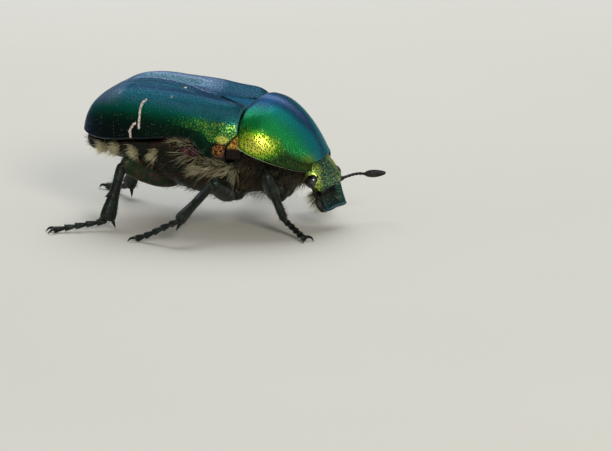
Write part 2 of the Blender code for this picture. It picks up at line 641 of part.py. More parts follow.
def make_antenna(side):
    """A stem and a club of leaves; the right antenna is folded along the head."""
    path = [head_point(*point) for point in STEMS[side]]
    club = [head_point(*point) for point in CLUBS[side]]
    radii = np.full(len(path), STEM_RADIUS)
    stem = tube("antenna_" + side, path, radii, radii, (0, 0, 1), BODY, "feeler", 8)
    widths, heights = CLUB_SHARE[side] * np.array([CLUB_WIDTHS, CLUB_HEIGHTS])
    leaves = tube("club", club, widths, heights, head_axes()[1], BODY, "feeler")
    return join(stem, [leaves])


def make_coxa(leg):
    place, side = leg.split("_")
    offset, radii, tilt = COXAE[place]
    centre = to_body(LEGS[leg][0]) + np.array(offset) * (1, SIDES[side], 1)
    axes = np.array(Matrix.Rotation(tilt * SIDES[side], 3, "X").transposed())
    return ball("coxa_" + leg, centre, radii, axes, BODY, "leg")


def leg_plane(leg):
    """The direction square to the plane in which the leg bends."""
    root, knee, ankle, _ = (np.array(p) for p in LEGS[leg])
    return unit(np.cross(knee - root, ankle - knee))


def make_femur(leg):
    root, knee, _, _ = (np.array(p) for p in LEGS[leg])
    place = leg.split("_")[0]
    along = unit(knee - root)
    flat = np.cross(leg_plane(leg), along)
    return limb("femur_" + leg, root, knee + along * KNEE_OVERLAP, FEMUR[place], flat, "leg")


def tibia_lines(leg):
    """The tibia's two ends, the direction along it, and its flat side's direction, outwards."""
    root, knee, ankle, _ = (np.array(p) for p in LEGS[leg])
    along = unit(ankle - knee)
    flat = unit(np.cross(leg_plane(leg), along))
    return knee, ankle, along, flat * np.sign(np.dot(flat, knee - root))


def make_tibia(leg):
    knee, ankle, _, flat = tibia_lines(leg)
    return limb("tibia_" + leg, knee, ankle, TIBIA[leg.split("_")[0]], flat, "leg")


def grow_teeth(leg, tibia):
    """Three outer teeth on a fore tibia; one at the middle and two end spurs on the others."""
    knee, ankle, along, outer = tibia_lines(leg)
    reach = along * np.linalg.norm(ankle - knee)
    lines = FORE_TEETH if leg.startswith("fore") else OTHER_TEETH
    pieces = [
        spine(knee + reach * root + outer * root_out, knee + reach * tip + outer * tip_out, radius, FLOOR, "leg")
        for root, root_out, tip, tip_out, radius in lines
    ]
    return join(tibia, pieces)


def make_tarsus(leg):
    """Five beads that widen towards their far ends, then two curved claws, down to the floor."""
    _, _, ankle, tip = (np.array(p) for p in LEGS[leg])
    way = unit((tip - ankle) * np.array([1, 1, 0]))
    across = np.cross(way, (0, 0, 1))
    sole = tip - way * CLAW_LENGTH * SOLE_SHARE
    share = np.linspace(0, 1, TARSUS_SEGMENTS * ROWS_A_SEGMENT + 1)
    path = ankle + (sole - ankle) * share[:, None]
    path[:, 2] = follow([(at, ankle[2] * part + height) for at, part, height in TARSUS_DROP], share)
    bead = np.append((share[:-1] * TARSUS_SEGMENTS) % 1.0, 0.9)
    radius = SEGMENT_RADII[0] + (SEGMENT_RADII[1] - SEGMENT_RADII[0]) * np.sin(0.15 + 2.5 * bead)
    foot = tube("tarsus_" + leg, path, radius, radius, across, FLOOR, "leg", 8)
    claws = []
    for turn in SIDES.values():
        ahead, aside, height, size = np.array(CLAW).T
        claw = sole + way * (CLAW_LENGTH * ahead - CLAW_ROOT)[:, None] + across * (turn * aside)[:, None]
        claw[:, 2] = height
        claws.append(tube("claw", claw, size, size, (0, 0, 1), FLOOR, "leg", 6))
    return join(foot, claws)


def floor_cutter():
    bpy.ops.mesh.primitive_cube_add(size=1)
    cutter = bpy.context.object
    cutter.name = "below_floor"
    cutter.scale = [side * MM for side in BLOCK]
    cutter.location = (0, 0, -BLOCK[2] / 2 * MM)
    bpy.ops.object.transform_apply(location=True, rotation=False, scale=True)
    cutter.hide_render = True
    cutter.display_type = "WIRE"
    return cutter


clear_scene()
make_materials()
PARTS = bpy.data.collections.new("rose_chafer")
CUTTERS = bpy.data.collections.new("cutters")
for group in (PARTS, CUTTERS):
    bpy.context.scene.collection.children.link(group)
FLOOR, BODY = make_frames()

pronotum = make_pronotum()
scutellum = make_scutellum()
elytra = [make_elytron(side) for side in SIDES]
prosternum, thorax, abdomen, pygidium = make_prosternum(), make_thorax(), make_abdomen(), make_pygidium()
wedges = [make_mesepimeron(side) for side in SIDES]
head = make_head()
eyes = [make_eye(side) for side in SIDES]
antennae = [make_antenna(side) for side in SIDES]
mouthparts = make_mouthparts()

cut_clear(head, [pronotum], solver="MANIFOLD")
cut_clear(head, eyes, EYE_GAP)
cut_clear(prosternum, [head], solver="MANIFOLD")
for antenna in antennae:
    cut_clear(antenna, [head], solver="MANIFOLD")
cut_clear(mouthparts, [head, *antennae], solver="MANIFOLD")
for wedge, elytron in zip(wedges, elytra):
    cut_clear(wedge, [pronotum, elytron])
cut_clear(thorax, wedges)

trunk = [prosternum, thorax, abdomen]
for leg in LEGS:
    coxa = make_coxa(leg)
    for part in trunk:
        cut_clear(part, [coxa])
    femur = make_femur(leg)
    cut_clear(femur, [coxa, *trunk])
    tibia = make_tibia(leg)
    cut_clear(tibia, [femur])
    tarsus = make_tarsus(leg)
    cut_clear(tarsus, [tibia])
    cut(tarsus, floor_cutter())
    grow_teeth(leg, tibia)
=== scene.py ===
"""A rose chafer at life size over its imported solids: shells with pits and colours, head, legs and hair.

Shapes are worked out in millimetres, in the body frame (origin at the middle of the scutellum's base,
+X forward, +Y to the animal's left, +Z up) or in the level floor frame, and are then put in the part's own
frame in metres."""

import math

import bmesh
import bpy
import numpy as np
from mathutils import Matrix


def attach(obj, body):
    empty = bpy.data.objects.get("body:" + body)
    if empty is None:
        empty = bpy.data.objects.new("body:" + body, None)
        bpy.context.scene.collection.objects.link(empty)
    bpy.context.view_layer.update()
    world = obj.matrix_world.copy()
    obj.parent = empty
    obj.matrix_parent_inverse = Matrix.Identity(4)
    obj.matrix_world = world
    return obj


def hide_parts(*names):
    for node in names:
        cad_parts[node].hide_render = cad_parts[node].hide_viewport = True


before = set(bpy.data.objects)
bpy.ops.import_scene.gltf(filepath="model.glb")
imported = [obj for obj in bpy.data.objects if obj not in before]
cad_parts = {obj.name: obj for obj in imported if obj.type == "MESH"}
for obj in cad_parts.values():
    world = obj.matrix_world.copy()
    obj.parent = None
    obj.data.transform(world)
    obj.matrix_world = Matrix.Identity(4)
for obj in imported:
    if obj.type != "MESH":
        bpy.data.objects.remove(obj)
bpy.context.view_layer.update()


# Elytra: the two wing cases, arched plates of hard metallic chitin that meet along the suture and draw in
# behind the shoulders. Each has a furrow and a rib by the suture, fine pits, and a few bands of white chalky
# scales. Thin plates with round rims, worked out from curves along the back.
BODY_PITCH = math.radians(8.6)
BODY_LIFT = 8.0
ORIGIN_SHIFT = (2.7, -0.22)
SIDES = {"left": 1, "right": -1}
ELYTRA_BASE = -0.005
ELYTRA_APEX = -11.25
REAR_START = -6.3
REAR_ROUNDING = 2.5
BACK_SQUARENESS = 3.8
BACK_WIDTHS = [(0.5, 4.1), (0.1, 4.25), (-1.2, 4.65), (-3.2, 4.5), (-6.0, 4.5), (-11.0, 4.5)]
SUTURE_HEIGHTS = [
    (0.5, 0.0), (-1.0, 0.0), (-2.5, 0.02), (-3.6, 0.1), (-4.8, 0.24), (-5.6, 0.29), (-6.8, 0.25), (-7.9, 0.1),
    (-8.7, -0.12), (-9.5, -0.5), (-10.2, -1.08), (-10.8, -1.95), (-11.25, -3.3),
]
EDGE_HEIGHTS = [
    (0.5, -2.95), (-0.7, -3.0), (-1.7, -3.1), (-2.3, -2.68), (-2.85, -2.24), (-3.5, -2.15), (-4.6, -2.4),
    (-5.8, -2.72), (-6.9, -2.97), (-9.1, -3.48), (-11.25, -3.62),
]
SHOULDER_CUT = 0.9
SHOULDER_FROM = 0.65
SHOULDER_TO = 0.87
FRONT_ROWS_END = -3.2
SCUTELLUM_LENGTH = 2.45
SCUTELLUM_HALF_BASE = 1.4
SEAM = 0.02
SCUTELLUM_SEAM = 0.13
ELYTRON_WALL = 0.3
ELYTRON_RIM = 0.09
ELYTRON_COLUMNS = 110
LIP = 0.035
LIP_FROM = 0.97
RIDGES_START = -3.6
RIDGES_END = -9.8
CHALK_REACH = 0.18
# bands of white scales: points of the left elytron, in the body frame
CHALK = [
    [
        (-6.39, 3.92, -0.27), (-6.58, 4.07, -0.48), (-6.64, 4.27, -0.84), (-6.56, 4.43, -1.4),
        (-6.5, 4.48, -2.1),
    ],
    [(-6.8, 4.47, -1.83), (-7.02, 4.48, -2.2), (-7.07, 4.48, -2.44), (-6.97, 4.49, -2.8)],
    [(-8.14, 2.73, -0.07), (-8.2, 3.1, -0.18), (-8.5, 3.4, -0.46)],
    [(-4.84, 3.46, 0.12), (-4.9, 3.54, 0.1)],
    [(-4.8, 0.55, 0.24), (-4.88, 0.6, 0.24)],
    [(-9.4, 1.5, -0.75), (-9.5, 2.0, -0.85)],
]


def ramp(value, start, end):
    """0 up to the start and 1 from the end on, evenly between."""
    return np.clip((value - start) / (end - start), 0, 1)


def hill(value, middle, spread, power=2):
    """1 at the middle, falling to both sides as a bell curve, flatter on top with a higher power."""
    return np.exp(-(((value - middle) / spread) ** power))


def axes_of(points):
    """The x, y and z of an array of points, as three arrays."""
    return np.moveaxis(np.asarray(points, float), -1, 0)


def follow(stations, at):
    """Smooth curve through (position, value) stations: cubic pieces, level wherever the values turn."""
    where, value = np.array(sorted(stations), float).T
    at = np.clip(np.asarray(at, float), where[0], where[-1])
    chord = np.diff(value) / np.diff(where)
    slope = np.concatenate([chord[:1], (chord[1:] + chord[:-1]) / 2, chord[-1:]])
    slope[1:-1][chord[1:] * chord[:-1] <= 0] = 0
    i = np.clip(np.searchsorted(where, at, side="right") - 1, 0, len(where) - 2)
    span = where[i + 1] - where[i]
    t = (at - where[i]) / span
    ease = t * t * (3 - 2 * t)
    bend = slope[i] * t * (1 - t) ** 2 - slope[i + 1] * t * t * (1 - t)
    return value[i] * (1 - ease) + value[i + 1] * ease + span * bend


def columns_of(rows, at, columns):
    """Smooth curves through the given columns of a table whose first column is the position."""
    return [follow([(row[0], row[column]) for row in rows], at) for column in columns]


def on_floor(points):
    """Floor-frame millimetres to the part's metres."""
    return (np.asarray(points, float) + (*ORIGIN_SHIFT, 0)) * 0.001


def on_body(points):
    """Body-frame millimetres to the part's metres: pitched nose down about +Y, then lifted."""
    x, y, z = axes_of(points)
    c, s = math.cos(BODY_PITCH), math.sin(BODY_PITCH)
    return on_floor(np.stack([c * x + s * z, y, c * z - s * x + BODY_LIFT], -1))


def unit(vectors):
    vectors = np.asarray(vectors, float)
    return vectors / np.maximum(np.linalg.norm(vectors, axis=-1, keepdims=True), 1e-9)


def crowded(count):
    """Positions from 0 to 1 that crowd towards both ends, by a cosine."""
    return 0.5 - 0.5 * np.cos(np.linspace(0, np.pi, count))


def grid_normals(grid):
    """Unit normals of a grid of points: the cross product of its steps along the rows and the columns."""
    return unit(np.cross(np.gradient(grid, axis=1), np.gradient(grid, axis=0)))


def running(grid, axis):
    """Distance run along a grid's rows or columns, from its first point on."""
    return np.insert(np.cumsum(np.linalg.norm(np.diff(grid, axis=axis), axis=-1), axis), 0, 0, axis)


def border_distance(grid):
    """How far each point of a grid lies from the grid's border, along its row or its column."""
    near = []
    for axis in (0, 1):
        run = running(grid, axis)
        near += [run, np.take(run, [-1], axis) - run]
    return np.minimum.reduce(near)


def plate(grid, wall, rim):
    """Outer and inner face of a plate. Nearer its border than `rim`, each draws in along a quarter of an
    ellipse, the outer face by the rim's own size, and they meet at the border."""
    normal = grid_normals(grid)
    inset = ramp(border_distance(grid), 0, rim)
    draw_in = (1 - np.sqrt(1 - (1 - inset) ** 2))[..., None]
    return grid - normal * rim * draw_in, grid - normal * (wall - (wall - rim) * draw_in)


def runs(grid):
    """Distances over the plate, across and along it: a flat place for a pattern that follows the surface."""
    across, along = running(grid, 1), running(grid, 0)
    middle = grid.shape[1] // 2
    return np.stack([across - across[:, [middle]], along, 0 * along], -1) * 0.001


def quads(rows, columns, wrap):
    """Corner indices of the faces between a grid's points, round to its first column where it wraps."""
    r, c = np.meshgrid(np.arange(rows - 1), np.arange(columns if wrap else columns - 1), indexing="ij")
    here, ahead = r * columns, (r + 1) * columns
    after = (c + 1) % columns
    return np.stack([here + c, here + after, ahead + after, ahead + c], -1).reshape(-1, 4)


def add_object(name, data):
    made = bpy.data.objects.new(name, data)
    bpy.context.scene.collection.objects.link(made)
    return made


def join_in(name, mesh, material, nodes):
    """Adds a finished mesh as a piece that rides on the root in place of its solids."""
    mesh.shade_smooth()
    mesh.materials.append(material)
    made = add_object(name, mesh)
    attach(made, "root")
    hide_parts(*nodes)


def piece(name, grids, material, nodes, place=on_body, wrap=False, marks=None):
    """One piece out of grids of points, with doubles merged and faces turned outwards.
    `marks` are numbers kept at each point for the material, one array for each grid."""
    points = np.concatenate([place(grid).reshape(-1, 3) for grid in grids])
    starts = np.cumsum([0] + [grid.shape[0] * grid.shape[1] for grid in grids])
    faces = np.concatenate([quads(*grid.shape[:2], wrap) + start for grid, start in zip(grids, starts)])
    mesh = bpy.data.meshes.new(name)
    mesh.from_pydata(points.tolist(), [], faces.tolist())
    for mark, values in (marks or {}).items():
        kind, key = ("FLOAT_VECTOR", "vector") if mark == "lay" else ("FLOAT", "value")
        layer = mesh.attributes.new(mark, kind, "POINT")
        layer.data.foreach_set(key, np.concatenate([np.ravel(value) for value in values]).astype(np.float32))
    work = bmesh.new()
    work.from_mesh(mesh)
    bmesh.ops.remove_doubles(work, verts=work.verts, dist=4e-7)
    bmesh.ops.dissolve_degenerate(work, edges=work.edges, dist=4e-7)
    bmesh.ops.recalc_face_normals(work, faces=work.faces)
    work.to_mesh(mesh)
    work.free()
    join_in(name, mesh, material, nodes)


def mirrored(grid, sign):
    """The left side's grid, or for the right side its mirror image with the columns turned round, which
    keeps the grid's normals pointing out."""
    return grid if sign > 0 else (grid * (1, -1, 1))[:, ::-1]


def even_angles():
    """Angles round the back's cross-section and the share of its outline reached at each."""
    angle = np.linspace(0, np.pi / 2, 400)
    y = 4.5 * np.sin(angle) ** (2 / BACK_SQUARENESS)
    z = 2.8 * np.cos(angle) ** (2 / BACK_SQUARENESS)
    run = np.concatenate([[0], np.cumsum(np.hypot(np.diff(y), np.diff(z)))])
    return angle, run / run[-1]


def back_relief(x, y):
    """Height of the shoulder, the disc's swell, the raised suture, its furrow, the rib and the hind knob."""
    fade = ramp(x, RIDGES_START, RIDGES_START - 1.2) * ramp(x, RIDGES_END, RIDGES_END + 1.5)
    shoulder = 0.12 * hill(x, -1.0, 2.0) * hill(y, 3.2, 0.9)
    swell = 0.22 * hill(y, 3.2, 1.2) * ramp(x, RIDGES_END, RIDGES_END + 2.0)
    ridge = 0.1 * hill(y, 0.0, 0.5, 4)
    furrow = 0.22 * hill(y, 1.25, 0.45)
    rib = 0.1 * hill(y, 2.05, 0.35)
    knob = 0.07 * hill(x, -9.0, 0.6) * hill(y, 2.6, 0.6)
    ahead = ramp(x, -6.0, -3.0)
    ahead = ahead**2 * (3 - 2 * ahead) * (1 - 0.7 * ramp(x, -0.9, 0.0) ** 2)
    front = 0.32 * ahead * hill(y, 2.9, 1.3)
    return shoulder + swell + front + knob + fade * (ridge - furrow + rib)


def back_point(x, share, inner=0.0):
    """A point of the back: x along it, and the share of the way from the inner edge (y = inner) to the
    margin. The section is a rounded arch, |y|^n + |z|^n = 1, with the relief added to its height."""
    angle, run = even_angles()
    power = 2 / BACK_SQUARENESS
    reach = ramp(x, REAR_START, ELYTRA_APEX)
    width = np.maximum(follow(BACK_WIDTHS, x) * (1 - reach**REAR_ROUNDING) ** (1 / REAR_ROUNDING), 0.02)
    start = np.arcsin(np.clip(inner / width, 0, 1) ** (1 / power))
    from_share = np.interp(start, angle, run)
    turn = np.interp(from_share + (1 - from_share) * share, run, angle)
    edge = follow(EDGE_HEIGHTS, x)
    rise = follow(SUTURE_HEIGHTS, x) - edge
    y = width * np.sin(turn) ** power
    z = edge + rise * np.cos(turn) ** power + back_relief(x, y) * np.cos(turn) ** 0.5
    return np.stack([x + 0 * y, y, z], -1)


def shoulder_front(share):
    """Where the elytron's front edge lies: along the front shield's hind margin, which sweeps forward down
    the flank, then back from it round the shoulder."""
    down = ramp(share, SHOULDER_FROM, SHOULDER_TO)
    height = back_point(0.0, share, SCUTELLUM_HALF_BASE)[..., 2]
    return ELYTRA_BASE + 0.44 * ramp(height, 0, -2) ** 2.2 - SHOULDER_CUT * down * down * (3 - 2 * down)


def scutellum_half(x):
    return SCUTELLUM_HALF_BASE * ramp(x, ELYTRA_BASE - SCUTELLUM_LENGTH, ELYTRA_BASE) ** 0.9


def elytron_grid():
    """The left elytron: rows across it from its front edge to the apex, columns from the suture outwards."""
    share = crowded(ELYTRON_COLUMNS)
    front = 1 - np.cos(np.linspace(0, np.pi / 2, 50)[:-1])[:, None]
    swing = np.radians(np.linspace(0, 89, 90))[:, None]
    x = np.concatenate([
        shoulder_front(share) * (1 - front) + FRONT_ROWS_END * front,
        np.linspace(FRONT_ROWS_END, REAR_START, 40)[:-1, None] + 0 * share,
        REAR_START - (REAR_START - ELYTRA_APEX) * np.sin(swing) + 0 * share,
    ])
    half = scutellum_half(x)
    grid = back_point(x, share, np.where(half > 0, half + SCUTELLUM_SEAM, SEAM / 2))
    tip = np.array([ELYTRA_APEX - 0.01, SEAM / 2, EDGE_HEIGHTS[-1][1] + 0.12])
    return np.concatenate([grid, np.broadcast_to(tip, (1, len(share), 3))])


def closeness(points, line, reach):
    """1 on a line through the given points and 0 from `reach` away, falling evenly between."""
    line = np.asarray(line, float)
    best = np.full(points.shape[:-1], reach)
    for a, b in zip(line[:-1], line[1:]):
        t = np.clip(((points - a) @ (b - a)) / ((b - a) @ (b - a)), 0, 1)
        best = np.minimum(best, np.linalg.norm(points - (a + t[..., None] * (b - a)), axis=-1))
    return 1 - best / reach


def bump_at(points, centre, spread):
    """A round hill of height 1 over the centre, as a bell curve."""
    return np.exp(-(((points - np.asarray(centre, float)) / spread) ** 2).sum(-1))


class Wire:
    """One output of a material's nodes. Sums of wires and numbers add Math nodes."""

    def __init__(self, tree, socket):
        self.tree = tree
        self.socket = socket

    def node(self, kind, inputs, output=0, stops=None, **settings):
        """Adds a node with its settings, the stops of a ramp, and the values or wires of its inputs."""
        made = self.tree.nodes.new("ShaderNode" + kind)
        for name, value in settings.items():
            setattr(made, name, value)
        if stops:
            while len(made.color_ramp.elements) < len(stops):
                made.color_ramp.elements.new(1.0)
            for element, (position, colour) in zip(made.color_ramp.elements, stops):
                element.position = position
                element.color = (*colour, 1.0)
        for key, value in inputs.items():
            if isinstance(value, Wire):
                self.tree.links.new(value.socket, made.inputs[key])
            else:
                made.inputs[key].default_value = value
        return Wire(self.tree, made.outputs[output])

    def maths(self, operation, *others):
        return self.node("Math", dict(enumerate((self, *others))), operation=operation)

    def __add__(self, other):
        return self.maths("ADD", other)

    def __mul__(self, other):
        return self.maths("MULTIPLY", other)

    def __sub__(self, other):
        return self.maths("SUBTRACT", other)

    def __rsub__(self, other):
        return self.node("Math", {0: other, 1: self}, operation="SUBTRACT")

    __radd__ = __add__
    __rmul__ = __mul__

    def step(self, low, high):
        """0 below low and 1 above high, with a smooth step between."""
        limits = {"Value": self, "From Min": low, "From Max": high}
        return self.node("MapRange", limits, interpolation_type="SMOOTHSTEP")

    def mark(self, name):
        """A number kept at each point of the mesh."""
        return self.node("Attribute", {}, output=2, attribute_name=name)

    def lay(self):
        """Each point's place over its plate, in distances along the surface."""
        return self.node("Attribute", {}, output=1, attribute_name="lay")

    def noise(self, size, detail=3.0):
        """Cloudy noise round 0.5, whose lumps are `size` millimetres across."""
        return self.node("TexNoise", {"Vector": self, "Scale": 1000 / size, "Detail": detail})

    def cells(self, size, output=0, randomness=1.0, **settings):
        """Distance to scattered points about `size` millimetres apart, or their random colour."""
        inputs = {"Vector": self, "Scale": 1000 / size, "Randomness": randomness}
        return self.node("TexVoronoi", inputs, output=output, **settings)

    def pits(self, size, inner, outer):
        """1 in round pits about `size` millimetres apart over a plate, and 0 between them."""
        return 1 - self.cells(size, randomness=0.85, voronoi_dimensions="2D").step(inner, outer)

    def grains(self, size, channel=0, flat="2D"):
        """One random number for each small patch of a plate, or for each small lump of space."""
        patches = self.cells(size, output=1, voronoi_dimensions=flat)
        return patches.node("SeparateColor", {0: patches}, output=channel)

    def tones(self, *stops):
        """The colour that this wire's value has on a ramp of (value, colour) stops."""
        return self.node("ValToRGB", {0: self}, stops=stops)

    def mix(self, low, high):
        """The colour low where this wire is 0 and high where it is 1."""
        sockets = {0: self}
        for key, colour in ((6, low), (7, high)):
            sockets[key] = colour if isinstance(colour, Wire) else (*colour, 1.0)
        return self.node("Mix", sockets, output=2, data_type="RGBA")

    def under(self, *layers):
        """This colour with others over it, each as (wire for its share, colour), the last one on top."""
        colour = self
        for share, over in layers:
            colour = share.mix(colour, over)
        return colour

    def bump(self, depth):
        """A normal bent by this height, where 1 is `depth` millimetres."""
        return self.node("Bump", {"Height": self, "Distance": depth * 0.001, "Strength": 1.0})


def start_material(name, **values):
    """A new material's shader, with its constant values, and a wire that carries Object coordinates."""
    material = bpy.data.materials.new(name)
    material.use_nodes = True
    tree = material.node_tree
    shader = tree.nodes["Principled BSDF"]
    for key, value in values.items():
        shader.inputs[key.replace("_", " ")].default_value = value
    return material, shader, Wire(tree, tree.nodes.new("ShaderNodeTexCoord").outputs["Object"])


def feed(shader, **wires):
    for key, wire in wires.items():
        wire.tree.links.new(wire.socket, shader.inputs[key.replace("_", " ")])


def elytron_material():
    """Colour runs with how far the shell faces up, which paints light and shade into it along with its own
    hue: dark teal on the crown under a painted lilac reflection of the sky, a painted steel-blue highlight
    band over the disc's edge, then green down the sides to painted shade near black. Bright flecks crowd low
    at the front, copper and a painted gold highlight at the shoulder, a painted shadow beside the suture's
    rib, painted shade on the lower rim and painted light in the groove at the front edge, and chalky scales
    lie over all."""
    material, shader, place = start_material(
        "elytron_chitin", Coat_Weight=0.06, Coat_Roughness=0.3, Specular_Tint=(0.4, 0.5, 0.75, 1.0),
    )
    lay = place.lay()
    cloud = place.noise(0.9)
    grain = place.noise(0.05, 2.0)
    lift = place.mark("lift") + (cloud - 0.5) * 0.1
    pit = lay.pits(0.13, 0.12, 0.4)
    hair_seats = lay.pits(0.34, 0.05, 0.1) * lift.step(0.2, 0.6)
    streak = place.noise(0.16, 4.0).step(0.5, 0.75) * lift.step(0.3, 0.7)
    reach = place.mark("fleck") + (place.noise(0.5) - 0.5) * 0.4
    fleck = (lay.grains(0.052) + reach.step(0.0, 1.1) * 0.55).step(1.0, 1.12) * reach.step(0.05, 0.3)
    shine = lay.grains(0.052, 1) + (place.mark("front") - 0.5) * 0.5
    ragged = (place.noise(0.25) - 0.5) * 0.8
    chalk = (place.mark("chalk") + (place.noise(0.1) - 0.5) * 1.1).step(0.5, 0.62)
    lower_rim_shade, front_rim_light = place.mark("lower_rim_shade"), place.mark("front_rim_light")
    # The ramp by facing paints light and shade: the steel-blue stops at 0.795 and 0.84 are a painted
    # highlight, the near-black stops at 0.47 and 0.52 painted shade on faces turned down.
    colour = (lift * 0.5 + 0.5).tones(
        (0.47, (0.001, 0.003, 0.001)), (0.52, (0.001, 0.02, 0.007)), (0.6, (0.001, 0.07, 0.036)),
        (0.7, (0.002, 0.125, 0.085)), (0.795, (0.016, 0.14, 0.15)), (0.84, (0.025, 0.135, 0.17)),
        (0.9, (0.005, 0.075, 0.09)), (0.955, (0.003, 0.045, 0.058)), (1.0, (0.002, 0.034, 0.046)),
    ).under(
        # painted reflection of the sky: lilac-grey over the left case's crown and both hind slopes
        (place.mark("sky_reflection") * (0.4 + 0.8 * place.noise(0.35)), (0.18, 0.22, 0.3)),
        (place.mark("furrow") * 0.7, (0.008, 0.085, 0.088)),
        # painted shadow of the suture's rib: a dark line beside the furrow
        (place.mark("rib_shadow") * 0.9, (0.001, 0.02, 0.022)),
        # painted shade where the hind part of the case faces down
        (place.mark("downward_shade") * 0.9, (0.001, 0.006, 0.004)),
        (streak * 0.25, (0.05, 0.18, 0.23)),
        (reach.step(0.2, 1.0) * 0.75, (0.012, 0.11, 0.025)),
        (
            fleck,
            shine.tones((0.2, (0.008, 0.18, 0.04)), (0.55, (0.045, 0.3, 0.035)), (0.95, (0.38, 0.56, 0.07))),
        ),
        (place.mark("low") * lay.grains(0.075).step(0.78, 0.9) * 0.3, (0.03, 0.08, 0.02)),
        (
            (place.mark("copper") + ragged).step(0.2, 0.75),
            lay.grains(0.1).step(0.3, 0.9).mix((0.012, 0.004, 0.002), (0.5, 0.19, 0.06)),
        ),
        # painted highlight: gold at the front of the shoulder, carrying on the front shield's
        (
            (place.mark("gold_highlight") * 1.2 + ragged).step(0.25, 0.8),
            shine.mix((0.16, 0.2, 0.02), (0.72, 0.74, 0.14)),
        ),
        (pit * 0.5, (0.001, 0.008, 0.008)),
        (hair_seats * 0.2, (0.3, 0.42, 0.45)),
        # painted shade on the lower rim, which also loses its metal
        (lower_rim_shade, (0.004, 0.007, 0.006)),
        # painted light in the shaded groove behind the front shield: teal, with less metal
        (front_rim_light, (0.025, 0.15, 0.14)),
        (chalk, place.noise(0.12).step(0.35, 0.7).mix((0.42, 0.3, 0.24), (0.88, 0.84, 0.78))),
    )
    feed(
        shader, Base_Color=colour, Metallic=(1 - chalk) * (1 - lower_rim_shade) * (1 - front_rim_light * 0.75) * 0.92,
        Roughness=0.34 + grain * 0.14 + chalk * 0.4,
        Normal=(chalk * 1.5 - pit * 0.8 + grain * 0.3 + cloud * 0.4).bump(0.022),
    )
    return material


def elytron_marks(grid, sign):
    """Where each colour lies on the outer face. Only the left case carries the painted sky reflection all
    along its crown.
    """
    near = grid * (1, sign, 1)
    x, y, z = axes_of(near)
    lift = grid_normals(grid)[..., 2]
    crown = np.maximum(ramp(x, -2.6, -4.4), 0.6 * ramp(y, 2.6, 3.4)) * ramp(lift, 0.45, 0.75)
    lowest = -1.65 - 0.5 * ramp(x, -2.4, -1.6)
    return {
        "lift": lift,
        "lay": runs(grid),
        "chalk": np.maximum.reduce([closeness(near, line, CHALK_REACH) for line in CHALK]),
        # painted sky reflection: all along the left case's crown, and on both hind slopes
        "sky_reflection": np.maximum((sign > 0) * crown, 0.85 * ramp(x, -8.0, -9.2) * ramp(lift, 0.35, 0.65)),
        # painted shadow beside the suture's rib
        "rib_shadow": hill(y, 0.62, 0.17) * ramp(x, -3.0, -4.5) * ramp(x, -9.8, -8.3),
        "furrow": hill(y, 1.4, 0.5) * ramp(x, -3.2, -4.7),
        "fleck": ramp(x, -6.0, -2.0) * ramp(z, -0.45, -0.85) * ramp(z, lowest, lowest + 0.4),
        "low": ramp(lift, 0.3, 0.1) * ramp(x, -8.0, -5.0),
        "front": ramp(x, -4.0, -0.5),
        # painted light along the front edge, in the front shield's shadow
        "front_rim_light": ramp(running(grid, 0), 0.168, 0.048) * ramp(z, -1.5, -1.1),
        "gold_highlight": bump_at(near, (-0.75, 4.5, -1.72), (0.42, 1.5, 0.26)),
        "copper": bump_at(near, (-0.85, 4.6, -2.35), (0.5, 1.5, 0.5)),
        # painted shade on faces turned down behind the shoulder
        "downward_shade": ramp(x, -2.5, -6.5) * ramp(lift, 0.3, 0.0),
        # painted shade along the lower rim
        "lower_rim_shade": ramp(border_distance(grid), 0.192, 0.032) * ramp(z, -1.5, -1.9) * ramp(y, 3.2, 3.6),
    }


elytron_finish = elytron_material()
wing_cases = {}
for side, sign in SIDES.items():
    grid = mirrored(elytron_grid(), sign)
    outer, inner = plate(grid, ELYTRON_WALL, ELYTRON_RIM)
    outer[:-1, :, 1] += sign * LIP * np.sin(np.pi * ramp(crowded(ELYTRON_COLUMNS)[::sign], LIP_FROM, 1))
    wing_cases[side] = outer
    marks = elytron_marks(grid, sign)
    # The inner face takes the ramp's near-black end: painted shade under the case.
    beneath = {
        "lift": np.where(border_distance(grid) < ELYTRON_RIM, marks["lift"], -1),
        "lay": marks["lay"],
    }
    piece(
        "wing_case_" + side, [outer, inner], elytron_finish, ["elytron_" + side],
        marks={key: [value, beneath.get(key, 0 * value)] for key, value in marks.items()},
    )


# Scutellum: the small three-cornered shield between the bases of the wing cases, of the same chitin.
# A flat plate with round rims, finely pitted.
SCUTELLUM_WALL = 0.3
SCUTELLUM_RIM = 0.08
SCUTELLUM_BOW = 0.05


def scutellum_grid():
    """Rows from the base to the tip and columns across, as wide as the notch between the wing cases."""
    x = (ELYTRA_BASE - (SCUTELLUM_LENGTH - 0.12) * crowded(60))[:, None]
    y = scutellum_half(x) * (2 * crowded(61) - 1)
    z = follow(SUTURE_HEIGHTS, x) + SCUTELLUM_BOW * (1 - (y / SCUTELLUM_HALF_BASE) ** 2)
    return np.stack([x + 0 * y, y, z], -1)


def shield_material():
    """Blue-green chitin with scattered small pits, and a rim painted dark as the shadow of the groove round
    it.
    """
    material, shader, place = start_material(
        "shield_chitin", Coat_Weight=0.06, Specular_Tint=(0.3, 0.5, 0.6, 1.0),
    )
    pit = place.lay().pits(0.17, 0.1, 0.36)
    colour = place.noise(0.8).step(0.3, 0.7).mix((0.005, 0.08, 0.12), (0.015, 0.1, 0.19)).under(
        # painted shadow of the groove along the shield's border
        (place.mark("rim"), (0.001, 0.008, 0.012)),
        (pit * 0.6, (0.002, 0.014, 0.018)),
    )
    feed(
        shader, Base_Color=colour, Metallic=0.92 - pit * 0.3,
        Roughness=0.34 + place.noise(0.05, 2.0) * 0.12, Normal=(1 - pit).bump(0.02),
    )
    return material


shield = scutellum_grid()
